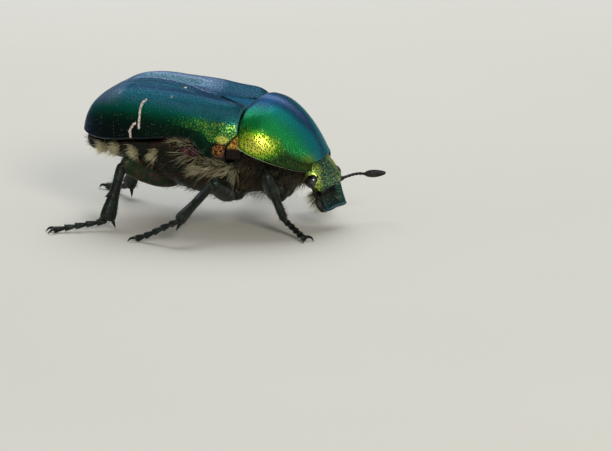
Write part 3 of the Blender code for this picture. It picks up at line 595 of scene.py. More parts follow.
# the rim mark carries the painted shadow along the border
piece(
    "shield", list(plate(shield, SCUTELLUM_WALL, SCUTELLUM_RIM)), shield_material(), ["scutellum"],
    marks={"lay": [runs(shield)] * 2, "rim": [ramp(border_distance(shield), 0.168, 0.028)] * 2},
)


# Pronotum: the one big shield over the front of the body, strongly arched, with a raised bead at each side.
# The brightest chitin of all: blue on top, emerald on the flanks, dark pits under a painted gold highlight
# low at the back.
PRONOTUM_TOP_X = [(0.0, 0.0), (0.25, 1.35), (0.5, 2.65), (0.75, 3.8), (1.0, 4.75)]
PRONOTUM_TOP_Z = [
    (0.0, 0.0), (0.7, 0.18), (1.4, 0.14), (2.2, -0.16), (3.0, -0.68), (3.6, -1.22), (4.15, -1.85),
    (4.75, -2.78),
]
PRONOTUM_EDGE = [
    (0.44, 3.9, -2.0), (0.8, 3.98, -2.25), (1.54, 3.92, -2.52), (2.25, 3.62, -2.75), (3.0, 3.15, -2.95),
    (3.7, 2.65, -3.1), (4.3, 2.2, -3.12), (4.65, 1.9, -3.0),
]
PRONOTUM_SQUARENESS = [(0.0, 2.9), (0.4, 2.4), (1.0, 2.1)]
PRONOTUM_SWEEP = [(0.0, 2.2), (0.3, 1.2), (1.0, 1.0)]
PRONOTUM_RISE = 0.5
PRONOTUM_WALL = 0.45
PRONOTUM_RIM = 0.09
PRONOTUM_FLANK = 6.3
BEAD_HEIGHT = 0.085


def pronotum_grid():
    """Rows from the hind to the front margin, columns from the left edge to the right, and how far each
    point lies in from the side margin. Each row is a rounded arch between its top point and its two edge
    points. The shield swells over them: half the rise at the hind margin, less before the scutellum, the
    rest along a quarter of an ellipse."""
    s = crowded(110)[:, None]
    angle, run = even_angles()
    t = 1 - 2 * crowded(190)
    top_x = follow(PRONOTUM_TOP_X, s)
    top_z = follow(PRONOTUM_TOP_Z, top_x)
    edge_x = PRONOTUM_EDGE[0][0] + (PRONOTUM_EDGE[-1][0] - PRONOTUM_EDGE[0][0]) * s
    edge_y, edge_z = columns_of(PRONOTUM_EDGE, edge_x, (1, 2))
    power = 2 / follow(PRONOTUM_SQUARENESS, s)
    turn = np.interp(np.abs(t), run, angle)
    down = 1 - np.cos(turn) ** power
    y = np.sign(t) * edge_y * np.sin(turn) ** power
    x = top_x + (edge_x - top_x) * down ** follow(PRONOTUM_SWEEP, s)
    grid = np.stack([x, y, top_z + (edge_z - top_z) * down], -1)
    at_back = 0.5 - 0.35 * hill(y, 0.0, 1.9, 4)
    swell = at_back + (1 - at_back) * np.sqrt(1 - (1 - ramp(s, 0, 0.14)) ** 2)
    inward = (1 - np.abs(t)) * PRONOTUM_FLANK + 0 * s
    return grid + grid_normals(grid) * PRONOTUM_RISE * swell[..., None], inward


def pronotum_material():
    """Blue along the crest with a painted lilac reflection of the sky on it, emerald beside it and painted
    light where it faces forward, then a painted gold highlight whose pits are dark, painted shade of dull
    brown low in front, and a pale green bead."""
    material, shader, place = start_material(
        "pronotum_chitin", Coat_Weight=0.06, Coat_Roughness=0.2, Specular_Tint=(0.3, 0.5, 0.6, 1.0),
    )
    lay = place.lay()
    grain = place.noise(0.05, 2.0)
    patches = lay.grains(0.08)
    lift = place.mark("lift") + (place.noise(1.2) - 0.5) * 0.08
    gold_highlight = place.mark("gold_highlight") + (place.noise(0.6) - 0.5) * 0.14
    spark = (lay.grains(0.09) + gold_highlight.step(0.0, 0.6) * 0.5).step(1.0, 1.12)
    spark = spark * (1 - place.mark("lift").step(0.3, 0.6))
    pitted = place.mark("gold_highlight").step(0.15, 0.6) + place.mark("shade") * 0.8
    pit = pitted.node("Mix", {
        0: pitted, 2: lay.pits(0.13, 0.12, 0.4) * 0.45, 3: lay.pits(0.175, 0.15, 0.34),
    }, data_type="FLOAT")
    bead = place.mark("bead")
    colour = lift.tones(
        (0.0, (0.004, 0.008, 0.002)), (0.1, (0.008, 0.06, 0.005)), (0.2, (0.006, 0.17, 0.028)),
        (0.4, (0.004, 0.17, 0.045)), (0.54, (0.003, 0.13, 0.06)), (0.68, (0.003, 0.1, 0.075)),
        (0.79, (0.003, 0.065, 0.09)), (0.9, (0.006, 0.055, 0.13)), (1.0, (0.014, 0.055, 0.17)),
    ).under(
        # painted light: where the shield faces forward its own green is brightened to green and teal
        (place.mark("forward_light") * 0.85, lift.step(0.42, 0.9).mix((0.025, 0.5, 0.12), (0.02, 0.4, 0.42))),
        # painted reflection of the sky: a lilac line along the crest
        (place.mark("crest_reflection") * (0.5 + place.noise(0.5) * 0.6), (0.2, 0.3, 0.55)),
        (place.mark("glow") * (0.4 + patches), (0.3, 0.5, 0.05)),
        (
            place.mark("shade") * 0.9,
            (patches.step(0.7, 0.9) * 0.5).mix((0.016, 0.012, 0.003), (0.12, 0.1, 0.02)),
        ),
        # painted highlight: gold where the low flank faces the key light, from green to bright gold; the
        # sparks crowd in it and the pits stay dark
        (gold_highlight.step(0.08, 0.4), (0.07, 0.3, 0.012)),
        (gold_highlight.step(0.3, 0.62), (0.4, 0.55, 0.02)),
        (gold_highlight.step(0.55, 0.9), (0.78, 0.74, 0.09)),
        (spark * 0.7, lay.grains(0.09, 1).mix((0.12, 0.42, 0.04), (0.75, 0.8, 0.1))),
        (pit * 0.95, (0.006, 0.012, 0.003)),
        (bead.step(0.2, 0.6), (0.5, 0.66, 0.34)),
    )
    feed(
        shader, Base_Color=colour, Metallic=(0.92 - pit * 0.3) * (1 - bead * 0.8),
        Roughness=0.26 + grain * 0.12 + bead * 0.1, Normal=(grain * 0.2 - pit).bump(0.03),
    )
    return material


def pronotum_marks(points, tilt, inward):
    """Where each colour lies: by how far the shield leans aside or forwards, and by its places."""
    x, y, z = axes_of(points)
    side_way = np.abs(tilt[..., 1])
    near = np.stack([x, np.abs(y), z], -1)
    shade_edge = 1.2 + 0.5 * np.clip(x - 1, 0, 2)
    forward_light_edge = (side_way - 0.05) / 0.14 + 0.6 * ramp(x, 3.3, 4.3)
    return {
        "lift": 1 - side_way,
        # painted light on the forward-facing flank
        "forward_light": ramp(tilt[..., 0], 0.2, 0.5) * np.clip(forward_light_edge, 0, 1),
        # painted sky reflection along the crest
        "crest_reflection": hill(y, 0.0, 0.6) * ramp(x, 4.4, 1.9),
        "glow": bump_at(near, (4.5, 2.1, -2.55), (0.6, 0.8, 0.4)),
        "shade": ramp(x, 0.7, 1.5) * ramp(inward, shade_edge, shade_edge - 0.8),
        # painted gold highlight, low on the flank at the back
        "gold_highlight": bump_at(near, (1.5, 4.2, -1.66), (1.35, 1.6, 0.78)),
        "bead": hill(inward, 0.12, 0.07),
    }


shield_points, inward = pronotum_grid()
tilt = grid_normals(shield_points)
from_border = border_distance(shield_points)
front_shield, inner = plate(shield_points, PRONOTUM_WALL, PRONOTUM_RIM)
height = BEAD_HEIGHT * (hill(inward, 0.12, 0.07) - hill(inward, 0.29, 0.08)) * ramp(from_border, 0, 0.04)
front_shield = front_shield + tilt * height[..., None]
marks = pronotum_marks(front_shield, tilt, inward)
marks = {key: [value, value * (from_border < PRONOTUM_RIM)] for key, value in marks.items()}
marks["lay"] = [runs(shield_points)] * 2
piece("front_shield", [front_shield, inner], pronotum_material(), ["pronotum"], marks=marks)


# Mesepimera: the wedges that show between the front shield's hind corner and the wing case's shoulder.
# Coppery chitin with coarse pits; thin plates like the shells beside them.
WEDGE_FRONT = 0.5
WEDGE_WALL = 0.4
WEDGE_RIM = 0.1


def mesepimeron_grid():
    """The back's own surface, a little further in, between the wing case and the shield's corner."""
    share = 0.6 + 0.4 * crowded(60)
    behind = shoulder_front(share) + 0.03
    x = WEDGE_FRONT + (behind - WEDGE_FRONT) * crowded(60)[:, None]
    grid = back_point(x, share + 0 * x, SCUTELLUM_HALF_BASE)
    grid[..., 1] -= 0.1
    return grid


def copper_material():
    """Copper and gold grains above, between coarse pits, and dark red-brown below."""
    material, shader, place = start_material("copper_chitin", Coat_Weight=0.1)
    lay = place.lay()
    pit = lay.pits(0.17, 0.14, 0.4)
    high = (place.mark("high") + (place.noise(0.3) - 0.5) * 0.8).step(0.25, 0.75)
    colour = lay.grains(0.1).mix((0.26, 0.08, 0.015), (0.85, 0.6, 0.08)).under(
        (1 - high, (0.014, 0.006, 0.005)),
        (pit * 0.9, (0.012, 0.006, 0.003)),
    )
    feed(
        shader, Base_Color=colour, Metallic=0.9 - pit * 0.3,
        Roughness=0.3 + place.noise(0.05, 2.0) * 0.14, Normal=(1 - pit).bump(0.03),
    )
    return material


copper_finish = copper_material()
for side, sign in SIDES.items():
    grid = mirrored(mesepimeron_grid(), sign)
    piece(
        "wedge_" + side, list(plate(grid, WEDGE_WALL, WEDGE_RIM)), copper_finish, ["mesepimeron_" + side],
        marks={"lay": [runs(grid)] * 2, "high": [ramp(grid[..., 2], -2.5, -2.0)] * 2},
    )


# Trunk: the underside of the front body (prosternum), the middle body (thorax) and the abdomen, whose
# plates overlap backwards. Dark green-brown chitin with coarse pits, mostly under hair.
TRUNK = [
    # x, top, half-width there, height of the ledge, half-width there, belly, squareness
    (4.35, -2.2, 1.0, -3.45, 1.35, -4.3, 1.7), (3.5, -1.35, 1.8, -3.35, 2.2, -4.95, 1.6),
    (2.5, -0.75, 2.5, -3.1, 2.9, -5.45, 1.5), (1.5, -0.5, 2.9, -2.8, 3.3, -5.7, 1.5),
    (0.6, -0.6, 3.0, -2.5, 3.4, -5.9, 1.7), (-0.2, -0.9, 3.3, -3.35, 3.6, -6.25, 1.9),
    (-1.6, -0.85, 3.7, -3.4, 4.15, -6.5, 2.0), (-3.0, -0.8, 3.6, -2.45, 4.25, -6.45, 2.1),
    (-4.6, -0.6, 3.6, -2.7, 4.2, -6.15, 2.2), (-5.6, -0.55, 3.6, -2.98, 4.15, -5.8, 2.2),
    (-7.0, -0.7, 3.45, -3.26, 4.0, -5.45, 2.2), (-8.5, -1.2, 3.0, -3.62, 3.65, -5.15, 2.2),
    (-9.6, -2.05, 2.2, -3.8, 3.15, -4.85, 2.1), (-10.2, -2.9, 1.2, -3.84, 2.75, -4.65, 2.0),
]
FRONT_TRUNK = (4.3, 0.3)
MIDDLE_TRUNK = (0.26, -4.86)
ABDOMEN = (-4.8, -10.08)
STERNITE_ENDS = (-5.8, -6.75, -7.7, -8.65, -10.0)
STERNITE_STEP = 0.16


def trunk_grid(xs, draw_in=0.0):
    """Closed sections, one a row: an arch under the shells, then the belly as a rounded bowl below."""
    at = np.asarray(xs, float)[:, None]
    top, top_half, ledge, flank, belly, roundness = columns_of(TRUNK, at, range(1, 7))
    draw_in = draw_in + 0 * at
    arch = np.radians(np.linspace(0, 90, 16))
    bowl = np.radians(np.linspace(0, 90, 44))
    power = 2 / roundness
    y = np.concatenate([top_half * np.sin(arch) ** 0.75, (flank - draw_in) * np.cos(bowl) ** power], 1)
    z = np.concatenate([
        ledge + (top - ledge) * np.cos(arch) ** 0.75,
        ledge - (ledge - belly - draw_in) * np.sin(bowl) ** power,
    ], 1)
    half = np.stack([at + 0 * y, y, z], -1)
    return np.concatenate([half, half[:, -2:0:-1] * (1, -1, 1)], 1)


def with_ends(values):
    """A grid's values with its first and last rows once more, for the two ends that `capped` adds."""
    return np.concatenate([values[:1], values, values[-1:]])


def capped(grid):
    """A closed tube of rings with a row at each end that draws in to the ring's middle."""
    closed = with_ends(grid)
    closed[[0, -1]] = closed[[0, -1]].mean(1, keepdims=True)
    return closed


def under_material():
    """Black-green chitin with coppery lights and crowded coarse pits, each the seat of a hair."""
    material, shader, place = start_material("under_chitin", Specular_IOR_Level=0.25)
    pit = 1 - place.cells(0.16).step(0.15, 0.45)
    purple = place.noise(0.3).step(0.4, 0.6).mix((0.02, 0.004, 0.008), (0.12, 0.03, 0.05))
    colour = place.noise(1.1).tones(
        (0.35, (0.003, 0.007, 0.003)), (0.5, (0.006, 0.009, 0.003)),
        (0.62, (0.03, 0.01, 0.006)), (0.75, (0.006, 0.022, 0.007)),
    ).under(
        (place.mark("purple").step(0.1, 0.5) * 0.9, purple),
        (pit * 0.8, (0.004, 0.004, 0.003)),
    )
    feed(
        shader, Base_Color=colour, Metallic=0.4 - pit * 0.3,
        Roughness=0.42 + place.noise(0.06, 2.0) * 0.15, Normal=(1 - pit).bump(0.03),
    )
    return material


under_finish = under_material()
front_trunk = trunk_grid(np.linspace(*FRONT_TRUNK, 60))
piece("front_trunk", [capped(front_trunk)], under_finish, ["prosternum"], wrap=True)

middle_trunk = trunk_grid(np.linspace(*MIDDLE_TRUNK, 130))
x, y, z = axes_of(middle_trunk)
keel = 0.1 * hill(y, 0.0, 0.12) * (z < -4)
boss = np.sqrt(np.clip(1 - ((x + 2.95) / 0.62) ** 2 - ((z + 3.05) / 0.36) ** 2, 0, 1))
groove = hill(z + 0.55 * (x + 4.9), -2.4, 0.05) * (x < -3.2) * (z < -2.3)
middle_trunk = middle_trunk + np.stack([0 * x, (0.14 * boss - 0.06 * groove) * np.sign(y), keel], -1)
piece(
    "middle_trunk", [capped(middle_trunk)], under_finish, ["thorax"], wrap=True,
    marks={"purple": [with_ends(boss)]},
)

xs = np.linspace(*ABDOMEN, 200)
starts = np.array([ABDOMEN[0], *STERNITE_ENDS[:-1]])
which = np.clip(np.searchsorted(-starts, -xs, side="right") - 1, 0, len(STERNITE_ENDS) - 1)
within = ramp(xs, starts[which], np.array(STERNITE_ENDS)[which])
abdomen = trunk_grid(xs, (STERNITE_STEP * (1 - within**0.7))[:, None])
piece("belly", [capped(abdomen)], under_finish, ["abdomen"], wrap=True)


# Pygidium: the last plate of the back, which closes the body behind the wing cases. Domed and hairy,
# of the underside's chitin.
PYGIDIUM = [
    # x, half-width, top, bottom
    (-9.97, 2.85, -3.74, -4.85), (-10.25, 2.6, -3.74, -4.78), (-10.55, 2.1, -3.78, -4.62),
    (-10.8, 1.5, -3.88, -4.42), (-10.95, 0.8, -4.0, -4.25),
]


def rounded(values, power):
    """The values' sizes to a power, with their signs kept."""
    return np.sign(values) * np.abs(values) ** power


def pygidium_grid():
    """Flat ovals, one a row, which shrink towards the tip."""
    x = np.linspace(PYGIDIUM[0][0], PYGIDIUM[-1][0], 24)[:, None]
    half, top, bottom = columns_of(PYGIDIUM, x, (1, 2, 3))
    turn = 2 * np.pi * np.arange(64) / 64
    y = half * rounded(np.cos(turn), 0.8)
    z = (top + bottom) / 2 + (top - bottom) / 2 * rounded(np.sin(turn), 0.8)
    return np.stack([x + 0 * y, y, z], -1)


tail = pygidium_grid()
piece("tail_plate", [capped(tail)], under_finish, ["pygidium"], wrap=True)


# Head: a flat, pitted capsule, golden green between the eyes and darker on the clypeus, the square plate
# over the mouth, whose sides and front turn up in a rim. One closed surface, narrowed behind where the front
# shield takes it.
HEAD_AT = (5.05, 0.0, -2.62)
HEAD_LONG = (0.42, -0.03, -0.905)
HEAD_LEFT = (0.374, 0.915, 0.142)
HEAD = [
    # l, half-width, upper side, under side, bend of the section's upper corners
    (-0.75, 0.9, -0.6, -1.75, 1.0), (-0.3, 1.2, -0.3, -1.95, 1.0), (0.2, 1.42, -0.05, -1.95, 1.0),
    (0.7, 1.52, 0.12, -1.85, 0.92), (1.1, 1.5, 0.15, -1.7, 0.75), (1.42, 1.44, 0.14, -1.5, 0.5),
    (1.75, 1.22, 0.08, -1.2, 0.45), (2.2, 1.1, 0.02, -0.9, 0.42), (2.7, 1.06, 0.0, -0.74, 0.4),
    (3.05, 1.05, 0.02, -0.66, 0.4), (3.3, 1.0, 0.05, -0.58, 0.4), (3.46, 0.86, 0.02, -0.48, 0.45),
]
head_long = unit(HEAD_LONG)
head_left = unit(np.array(HEAD_LEFT) - head_long * np.dot(head_long, HEAD_LEFT))
head_axes = np.array([head_long, head_left, np.cross(head_long, head_left)])


def in_head(points):
    """Head-frame points (along the head, to its left, square to the face) in the body frame."""
    return np.array(HEAD_AT) + np.asarray(points, float) @ head_axes


def head_grid():
    """Rounded oblongs along the head. The face side also gets the keel, the clypeus's hollow, rim and notch,
    and the small ledge in front of each eye."""
    l = np.concatenate([np.linspace(HEAD[0][0], 3.1, 90), np.linspace(3.12, HEAD[-1][0], 30)])[:, None]
    half, upper, under, bend = columns_of(HEAD, l, (1, 2, 3, 4))
    turn = 2 * np.pi * (np.arange(160) + 0.5) / 160
    bend = np.where(np.sin(turn) > 0, bend, 1.0)
    across = rounded(np.cos(turn), bend)
    height = rounded(np.sin(turn), bend)
    side = (half + 0.14 * hill(l, 1.66, 0.14) * hill(height, 0.6, 0.35)) * across
    rim = 0.09 * hill(np.abs(across), 1.0, 0.08) + 0.1 * hill(l, 3.38, 0.08)
    hollow = 0.12 * (1 - across**2) * ramp(l, 3.4, 3.0)
    keel = 0.06 * hill(across, 0.0, 0.3) * hill(l, 1.1, 0.6)
    seam = 0.06 * hill(l - 0.12 * across**2, 1.78, 0.05)
    dent = 0.14 * hill(l, 2.12, 0.1) * hill(side, 0.15, 0.55)
    relief = ramp(l, 1.8, 2.1) * (rim - hollow) + keel - seam - dent
    up = (upper + under) / 2 + (upper - under) / 2 * height + np.clip(height, 0, 1) ** 0.5 * relief
    notch = 0.1 * hill(side, 0.0, 0.3) * ramp(l, 2.9, 3.4)
    return np.stack([l - notch + 0 * side, side, up], -1)


def head_material():
    """Gold and green flecks at the sides of the brow, teal in its middle and behind, then a dull ledge and
    painted shade in the hollow before the clypeus, which is nearly black with a teal rim."""
    material, shader, place = start_material("head_chitin", Coat_Weight=0.1)
    front = place.mark("front")
    glint, tint = (place.grains(0.042, channel, "3D") for channel in (0, 1))
    side = (place.mark("side") + (place.noise(0.35) - 0.5) * 0.5).step(0.15, 0.7)
    pit = 1 - place.cells(0.13).step(0.14, 0.42)
    # The near-black stops at 0.62 and 0.7 lie in the hollow across the head before the clypeus: painted
    # shade.
    dark = (front + place.noise(0.3) * 0.2).tones(
        (0.56, (0.015, 0.03, 0.012)), (0.62, (0.002, 0.003, 0.002)), (0.7, (0.002, 0.004, 0.003)),
        (0.78, (0.015, 0.025, 0.012)), (1.0, (0.01, 0.04, 0.035)),
    ).under((place.mark("beyond"), (0.012, 0.1, 0.085)))
    flecks = tint.tones((0.2, (0.06, 0.36, 0.07)), (0.5, (0.5, 0.6, 0.07)), (0.8, (1.0, 0.92, 0.22)))
    colour = side.mix((0.01, 0.095, 0.085), (0.05, 0.16, 0.02)).under(
        ((glint + side * 0.45).step(0.74, 0.94), flecks),
        ((front + (place.noise(0.25) - 0.5) * 0.12).step(0.42, 0.54), dark),
        (place.mark("rim") * 0.8, (0.02, 0.1, 0.12)),
        (pit * 0.85, (0.005, 0.009, 0.005)),
    )
    feed(
        shader, Base_Color=colour, Metallic=0.88 - pit * 0.3,
        Roughness=0.3 + place.noise(0.05, 2.0) * 0.14, Normal=(1 - pit).bump(0.03),
    )
    return material


head = head_grid()
l, across, up = axes_of(head)
marks = {
    "front": ramp(l, 0.6, 3.4),
    "side": ramp(np.abs(across), 0, 1.1) ** 1.5 * np.clip(1.5 - l, 0.55, 1),
    "beyond": ramp(across, 0.25, 0.85),
    "rim": ramp(l, 3.25, 3.37) + ramp(l, 2.4, 2.8) * ramp(np.abs(across), 0.9, 1.0),
}
piece(
    "head_capsule", [capped(in_head(head))], head_material(), ["head"], wrap=True,
    marks={key: [with_ends(value)] for key, value in marks.items()},
)


# Eyes: smooth dark domes of very small facets, one in each side of the head behind the ledge.
# Glossy chitin. Each is an oval, half sunk in the head.
EYE_AT = (1.25, 1.17, -0.5)
EYE_RADII = (0.5, 0.46, 0.5)


def oval(radii, rows=28, columns=40):
    """An ellipsoid round the origin, its poles on the first axis."""
    tilt = np.linspace(0, np.pi, rows)[:, None]
    turn = 2 * np.pi * np.arange(columns) / columns
    out = np.sin(tilt)
    return np.stack([-np.cos(tilt) + 0 * turn, out * np.cos(turn), out * np.sin(turn)], -1) * radii


def eye_material():
    material, shader, place = start_material("eye_lens", Coat_Weight=1.0, Coat_Roughness=0.1, Roughness=0.3)
    facet = place.cells(0.045, randomness=0.15)
    feed(
        shader, Base_Color=place.noise(0.3).step(0.35, 0.7).mix((0.003, 0.002, 0.003), (0.012, 0.006, 0.008)),
        Normal=(1 - facet).bump(0.004),
    )
    return material


eye_finish = eye_material()
for side, sign in SIDES.items():
    eye = oval(EYE_RADII) + np.array(EYE_AT) * (1, sign, 1)
    piece("eyeball_" + side, [in_head(eye)], eye_finish, ["eye_" + side], wrap=True)


# Antennae: a stout first joint, a stem of small beads and a club of three leaves that lie on each other.
# Dark brown chitin. The right one is folded along the clypeus.
STEMS = {
    "left": [(1.82, 0.95, -0.4), (1.76, 1.5, -0.1), (1.75, 1.95, 0.12), (1.8, 2.45, 0.4), (1.97, 2.9, 0.65)],
    "right": [(1.8, -0.9, -0.55), (1.86, -1.25, -0.5), (2.1, -1.33, -0.42), (2.5, -1.33, -0.33)],
}
CLUBS = {
    "left": [(1.95, 2.85, 0.63), (2.07, 3.25, 0.85), (2.17, 3.61, 1.1), (2.26, 3.95, 1.4)],
    "right": [(2.42, -1.33, -0.34), (2.75, -1.32, -0.3), (3.1, -1.27, -0.28), (3.42, -1.2, -0.27)],
}
LEAF_SPREAD = {"left": 0.14, "right": 0.1}
LEAF_SIZE = {"left": 1.0, "right": 0.72}
FIRST_JOINT = 0.3


def tube(path, widths, heights, across, sides=16):
    """A closed tube: at each point of the path an oval, whose width lies along `across`."""
    path = np.asarray(path, float)
    along = unit(np.gradient(path, axis=0))
    across = np.asarray(across, float)
    across = unit(across - along * (along @ across)[:, None])
    upright = np.cross(along, across)
    turn = 2 * np.pi * np.arange(sides) / sides
    wide = (np.asarray(widths, float)[:, None] * np.cos(turn))[..., None]
    high = (np.asarray(heights, float)[:, None] * np.sin(turn))[..., None]
    return capped(path[:, None] + across[:, None] * wide + upright[:, None] * high)


def smooth_path(points, count):
    """Points at even shares of a smooth curve through the given ones."""
    points = np.asarray(points, float)
    run = running(points, 0)
    at = np.linspace(0, run[-1], count)
    return np.stack([follow(list(zip(run, values)), at) for values in points.T], -1)


def dark_material(name, dark, light, roughness, pit_size):
    """Dark glossy chitin with faint lights of another colour and scattered pits."""
    material, shader, place = start_material(
        name, Coat_Weight=0.06, Coat_Roughness=0.2, Specular_IOR_Level=0.4,
    )
    pit = 1 - place.cells(pit_size).step(0.12, 0.35)
    colour = place.noise(0.45).step(0.45, 0.75).mix(dark, light).under((pit * 0.7, (0.002, 0.002, 0.002)))
    feed(
        shader, Base_Color=colour, Metallic=0.35 - pit * 0.2,
        Roughness=roughness + place.noise(0.05, 2.0) * 0.14,
        Normal=(1 - pit + place.noise(0.2) * 1.2).bump(0.035),
    )
    return material


feeler_finish = dark_material("feeler_chitin", (0.008, 0.006, 0.005), (0.03, 0.02, 0.014), 0.4, 0.09)
for side in SIDES:
    share = np.linspace(0, 1, 120)
    first = 0.1 + 0.07 * np.abs(np.sin(np.pi * share / FIRST_JOINT)) ** 0.8
    beads = 0.07 + 0.035 * np.abs(np.sin(6 * np.pi * ramp(share, FIRST_JOINT, 1))) ** 0.7
    radius = np.where(share < FIRST_JOINT, first, beads)
    grids = [tube(in_head(smooth_path(STEMS[side], 120)), radius, radius, (0, 0, 1))]
    club = in_head(smooth_path(CLUBS[side], 120))
    outline = LEAF_SIZE[side] * np.sin(np.pi * (0.04 + 0.92 * share) ** 0.8) ** 0.55
    flat = unit(np.cross(club[-1] - club[0], head_axes[0]))
    for step in (-1, 0, 1):
        leaf = club + flat * step * LEAF_SPREAD[side] * np.clip(share * 3, 0, 1)[:, None]
        grids.append(tube(leaf, 0.075 * outline, 0.25 * outline, flat))
    piece("feeler_" + side, grids, feeler_finish, ["antenna_" + side], wrap=True)


# Mouthparts: the dark jaws and lip under the clypeus, with a pair of short jointed palps.
# Of the antennae's chitin: an oval for the jaws and a beaded tube for each palp.
JAWS_AT = (2.2, 0.0, -0.95)
JAWS_RADII = (0.85, 0.6, 0.38)
PALP = [(2.4, 0.3, -0.95), (2.8, 0.42, -0.9), (3.2, 0.4, -0.82), (3.55, 0.32, -0.76)]
jaws = oval(JAWS_RADII, 24, 32) + JAWS_AT
mouth = [in_head(jaws)]
for sign in SIDES.values():
    path = in_head(smooth_path(np.array(PALP) * (1, sign, 1), 40))
    joints = 0.1 + 0.06 * np.abs(np.sin(np.pi * 3 * np.linspace(0.02, 0.97, 40))) ** 0.6
    mouth.append(tube(path, joints, joints, head_axes[1]))
piece("jaws_and_palps", mouth, feeler_finish, ["mouthparts"], wrap=True)


# Legs: six, each a ball-like coxa in the trunk, a stout femur, a toothed tibia, a foot of five beads and two
# claws. Black-green chitin with bluish lights; the hind femora are browner.
LEGS = {
    # root, knee, ankle and tip, in the floor frame
    "fore_right": ((1.54, -1.15, 2.1), (1.86, -4.12, 4.1), (2.86, -3.3, 1.02), (5.03, -4.94, 0.0)),
    "mid_right": ((-1.19, -1.7, 2.05), (-1.33, -5.5, 3.69), (-2.8, -8.36, 1.74), (-6.43, -7.46, 0.0)),
    "hind_right": ((-5.1, -1.1, 2.75), (-8.0, -4.1, 4.4), (-8.85, -5.0, 0.6), (-12.4, -7.0, 0.0)),
    "fore_left": ((1.54, 1.15, 2.1), (2.3, 4.15, 4.0), (3.1, 5.1, 1.0), (3.7, 7.5, 0.0)),
    "mid_left": ((-1.19, 1.7, 2.05), (-1.7, 5.5, 3.6), (-2.2, 8.2, 1.1), (-5.9, 9.1, 0.0)),
    "hind_left": ((-5.1, 1.1, 2.7), (-8.6, 3.5, 4.1), (-10.6, 4.7, 0.8), (-13.2, 7.3, 0.0)),
}
COXAE = {
    # place from the root, radii, tilt
    "fore": ((0.1, -0.35, 0.35), (0.75, 0.62, 0.85), 0.0),
    "mid": ((0.05, -0.25, 0.3), (0.75, 0.8, 0.6), 0.0),
    "hind": ((0.55, 0.7, 0.7), (0.72, 1.6, 0.75), 0.28),
}
# along the joint: share of its length, half-width, half-thickness
FEMUR = {
    "fore": [(0.0, 0.35, 0.32), (0.12, 0.5, 0.42), (0.4, 0.68, 0.5), (0.75, 0.62, 0.45), (0.95, 0.42, 0.36)],
    "mid": [(0.0, 0.32, 0.3), (0.12, 0.5, 0.42), (0.4, 0.66, 0.48), (0.75, 0.58, 0.42), (0.95, 0.42, 0.34)],
    "hind": [(0.0, 0.35, 0.3), (0.12, 0.62, 0.4), (0.4, 0.84, 0.44), (0.75, 0.74, 0.4), (0.95, 0.48, 0.34)],
}
FEMUR_END = (1.0, 0.25, 0.22)
TIBIA_START = [(0.0, 0.2, 0.2)]
TIBIA = {
    "fore": [(0.06, 0.3, 0.28), (0.3, 0.32, 0.28), (0.65, 0.42, 0.28), (0.9, 0.5, 0.28), (1.0, 0.34, 0.22)],
    "mid": [(0.06, 0.3, 0.28), (0.35, 0.3, 0.28), (0.6, 0.36, 0.28), (0.92, 0.5, 0.36), (1.0, 0.4, 0.3)],
    "hind": [(0.06, 0.32, 0.28), (0.35, 0.34, 0.28), (0.6, 0.42, 0.3), (0.92, 0.58, 0.36), (1.0, 0.44, 0.3)],
}
# a thorn's root and tip, each as the share along the tibia and the distance out from its axis, and its radius
FORE_TEETH = [(0.44, 0.1, 0.57, 0.6, 0.17), (0.68, 0.1, 0.81, 0.67, 0.2), (0.9, 0.1, 1.03, 0.73, 0.22)]
OTHER_TEETH = [(0.5, 0.08, 0.62, 0.62, 0.2), (0.93, 0.3, 1.08, 0.78, 0.15), (0.93, -0.3, 1.08, -0.78, 0.15)]
# along the tarsus: share, part of the ankle's height, height over the floor
TARSUS_DROP = [(0.0, 1.0, 0.0), (0.35, 0.62, 0.1), (0.7, 0.22, 0.2), (1.0, 0.0, 0.2)]
CLAW_LENGTH = 0.62
# along a claw: share ahead, distance aside, height, radius
CLAW = [(0.0, 0.06, 0.2, 0.12), (0.35, 0.25, 0.3, 0.1), (0.7, 0.375, 0.24, 0.07), (1.0, 0.4, 0.04, 0.02)]


def to_body(point):
    """A floor-frame point in the body frame."""
    x, y, z = np.asarray(point, float) - (0, 0, BODY_LIFT)
    c, s = math.cos(BODY_PITCH), math.sin(BODY_PITCH)
    return np.array([c * x - s * z, y, s * x + c * z])


def on_sole(points):
    """Floor-frame points in the part's metres, with what would reach below the floor pressed flat on it."""
    return np.maximum(on_floor(points), (-1, -1, 0))


def limb(start, end, profile, across):
    """One joint of a leg, from (share of its length, half-width, half-thickness) stations."""
    f = crowded(60)
    path = start + (end - start) * f[:, None]
    ease = np.sqrt(np.clip(np.minimum(f, 1 - f) / 0.03, 0, 1))
    widths, heights = columns_of(profile, f, (1, 2))
    return tube(path, widths * ease, heights * ease, across, 28)


def tooth(root, tip, radius, across):
    """A thorn that tapers to its tip."""
    f = np.linspace(0, 1, 10)
    width = radius * (1 - f**1.4) + 0.012
    return tube(root + (tip - root) * f[:, None], width, width, across, 12)


def tarsus_beads(ankle, sole, across):
    """Five beads on a line that comes down from the ankle to the floor, each narrow at its root."""
    share = np.linspace(0, 1, 101)
    path = ankle + (sole - ankle) * share[:, None]
    path[:, 2] = follow([(at, ankle[2] * part + height) for at, part, height in TARSUS_DROP], share)
    f = np.linspace(0, 1, 21)
    width = (0.1 + 0.12 * f**0.8) * np.sqrt(np.clip((1 - f) / 0.12, 0, 1)) + 0.02
    return [tube(path[k * 20 : k * 20 + 21], width, width, across) for k in range(5)]


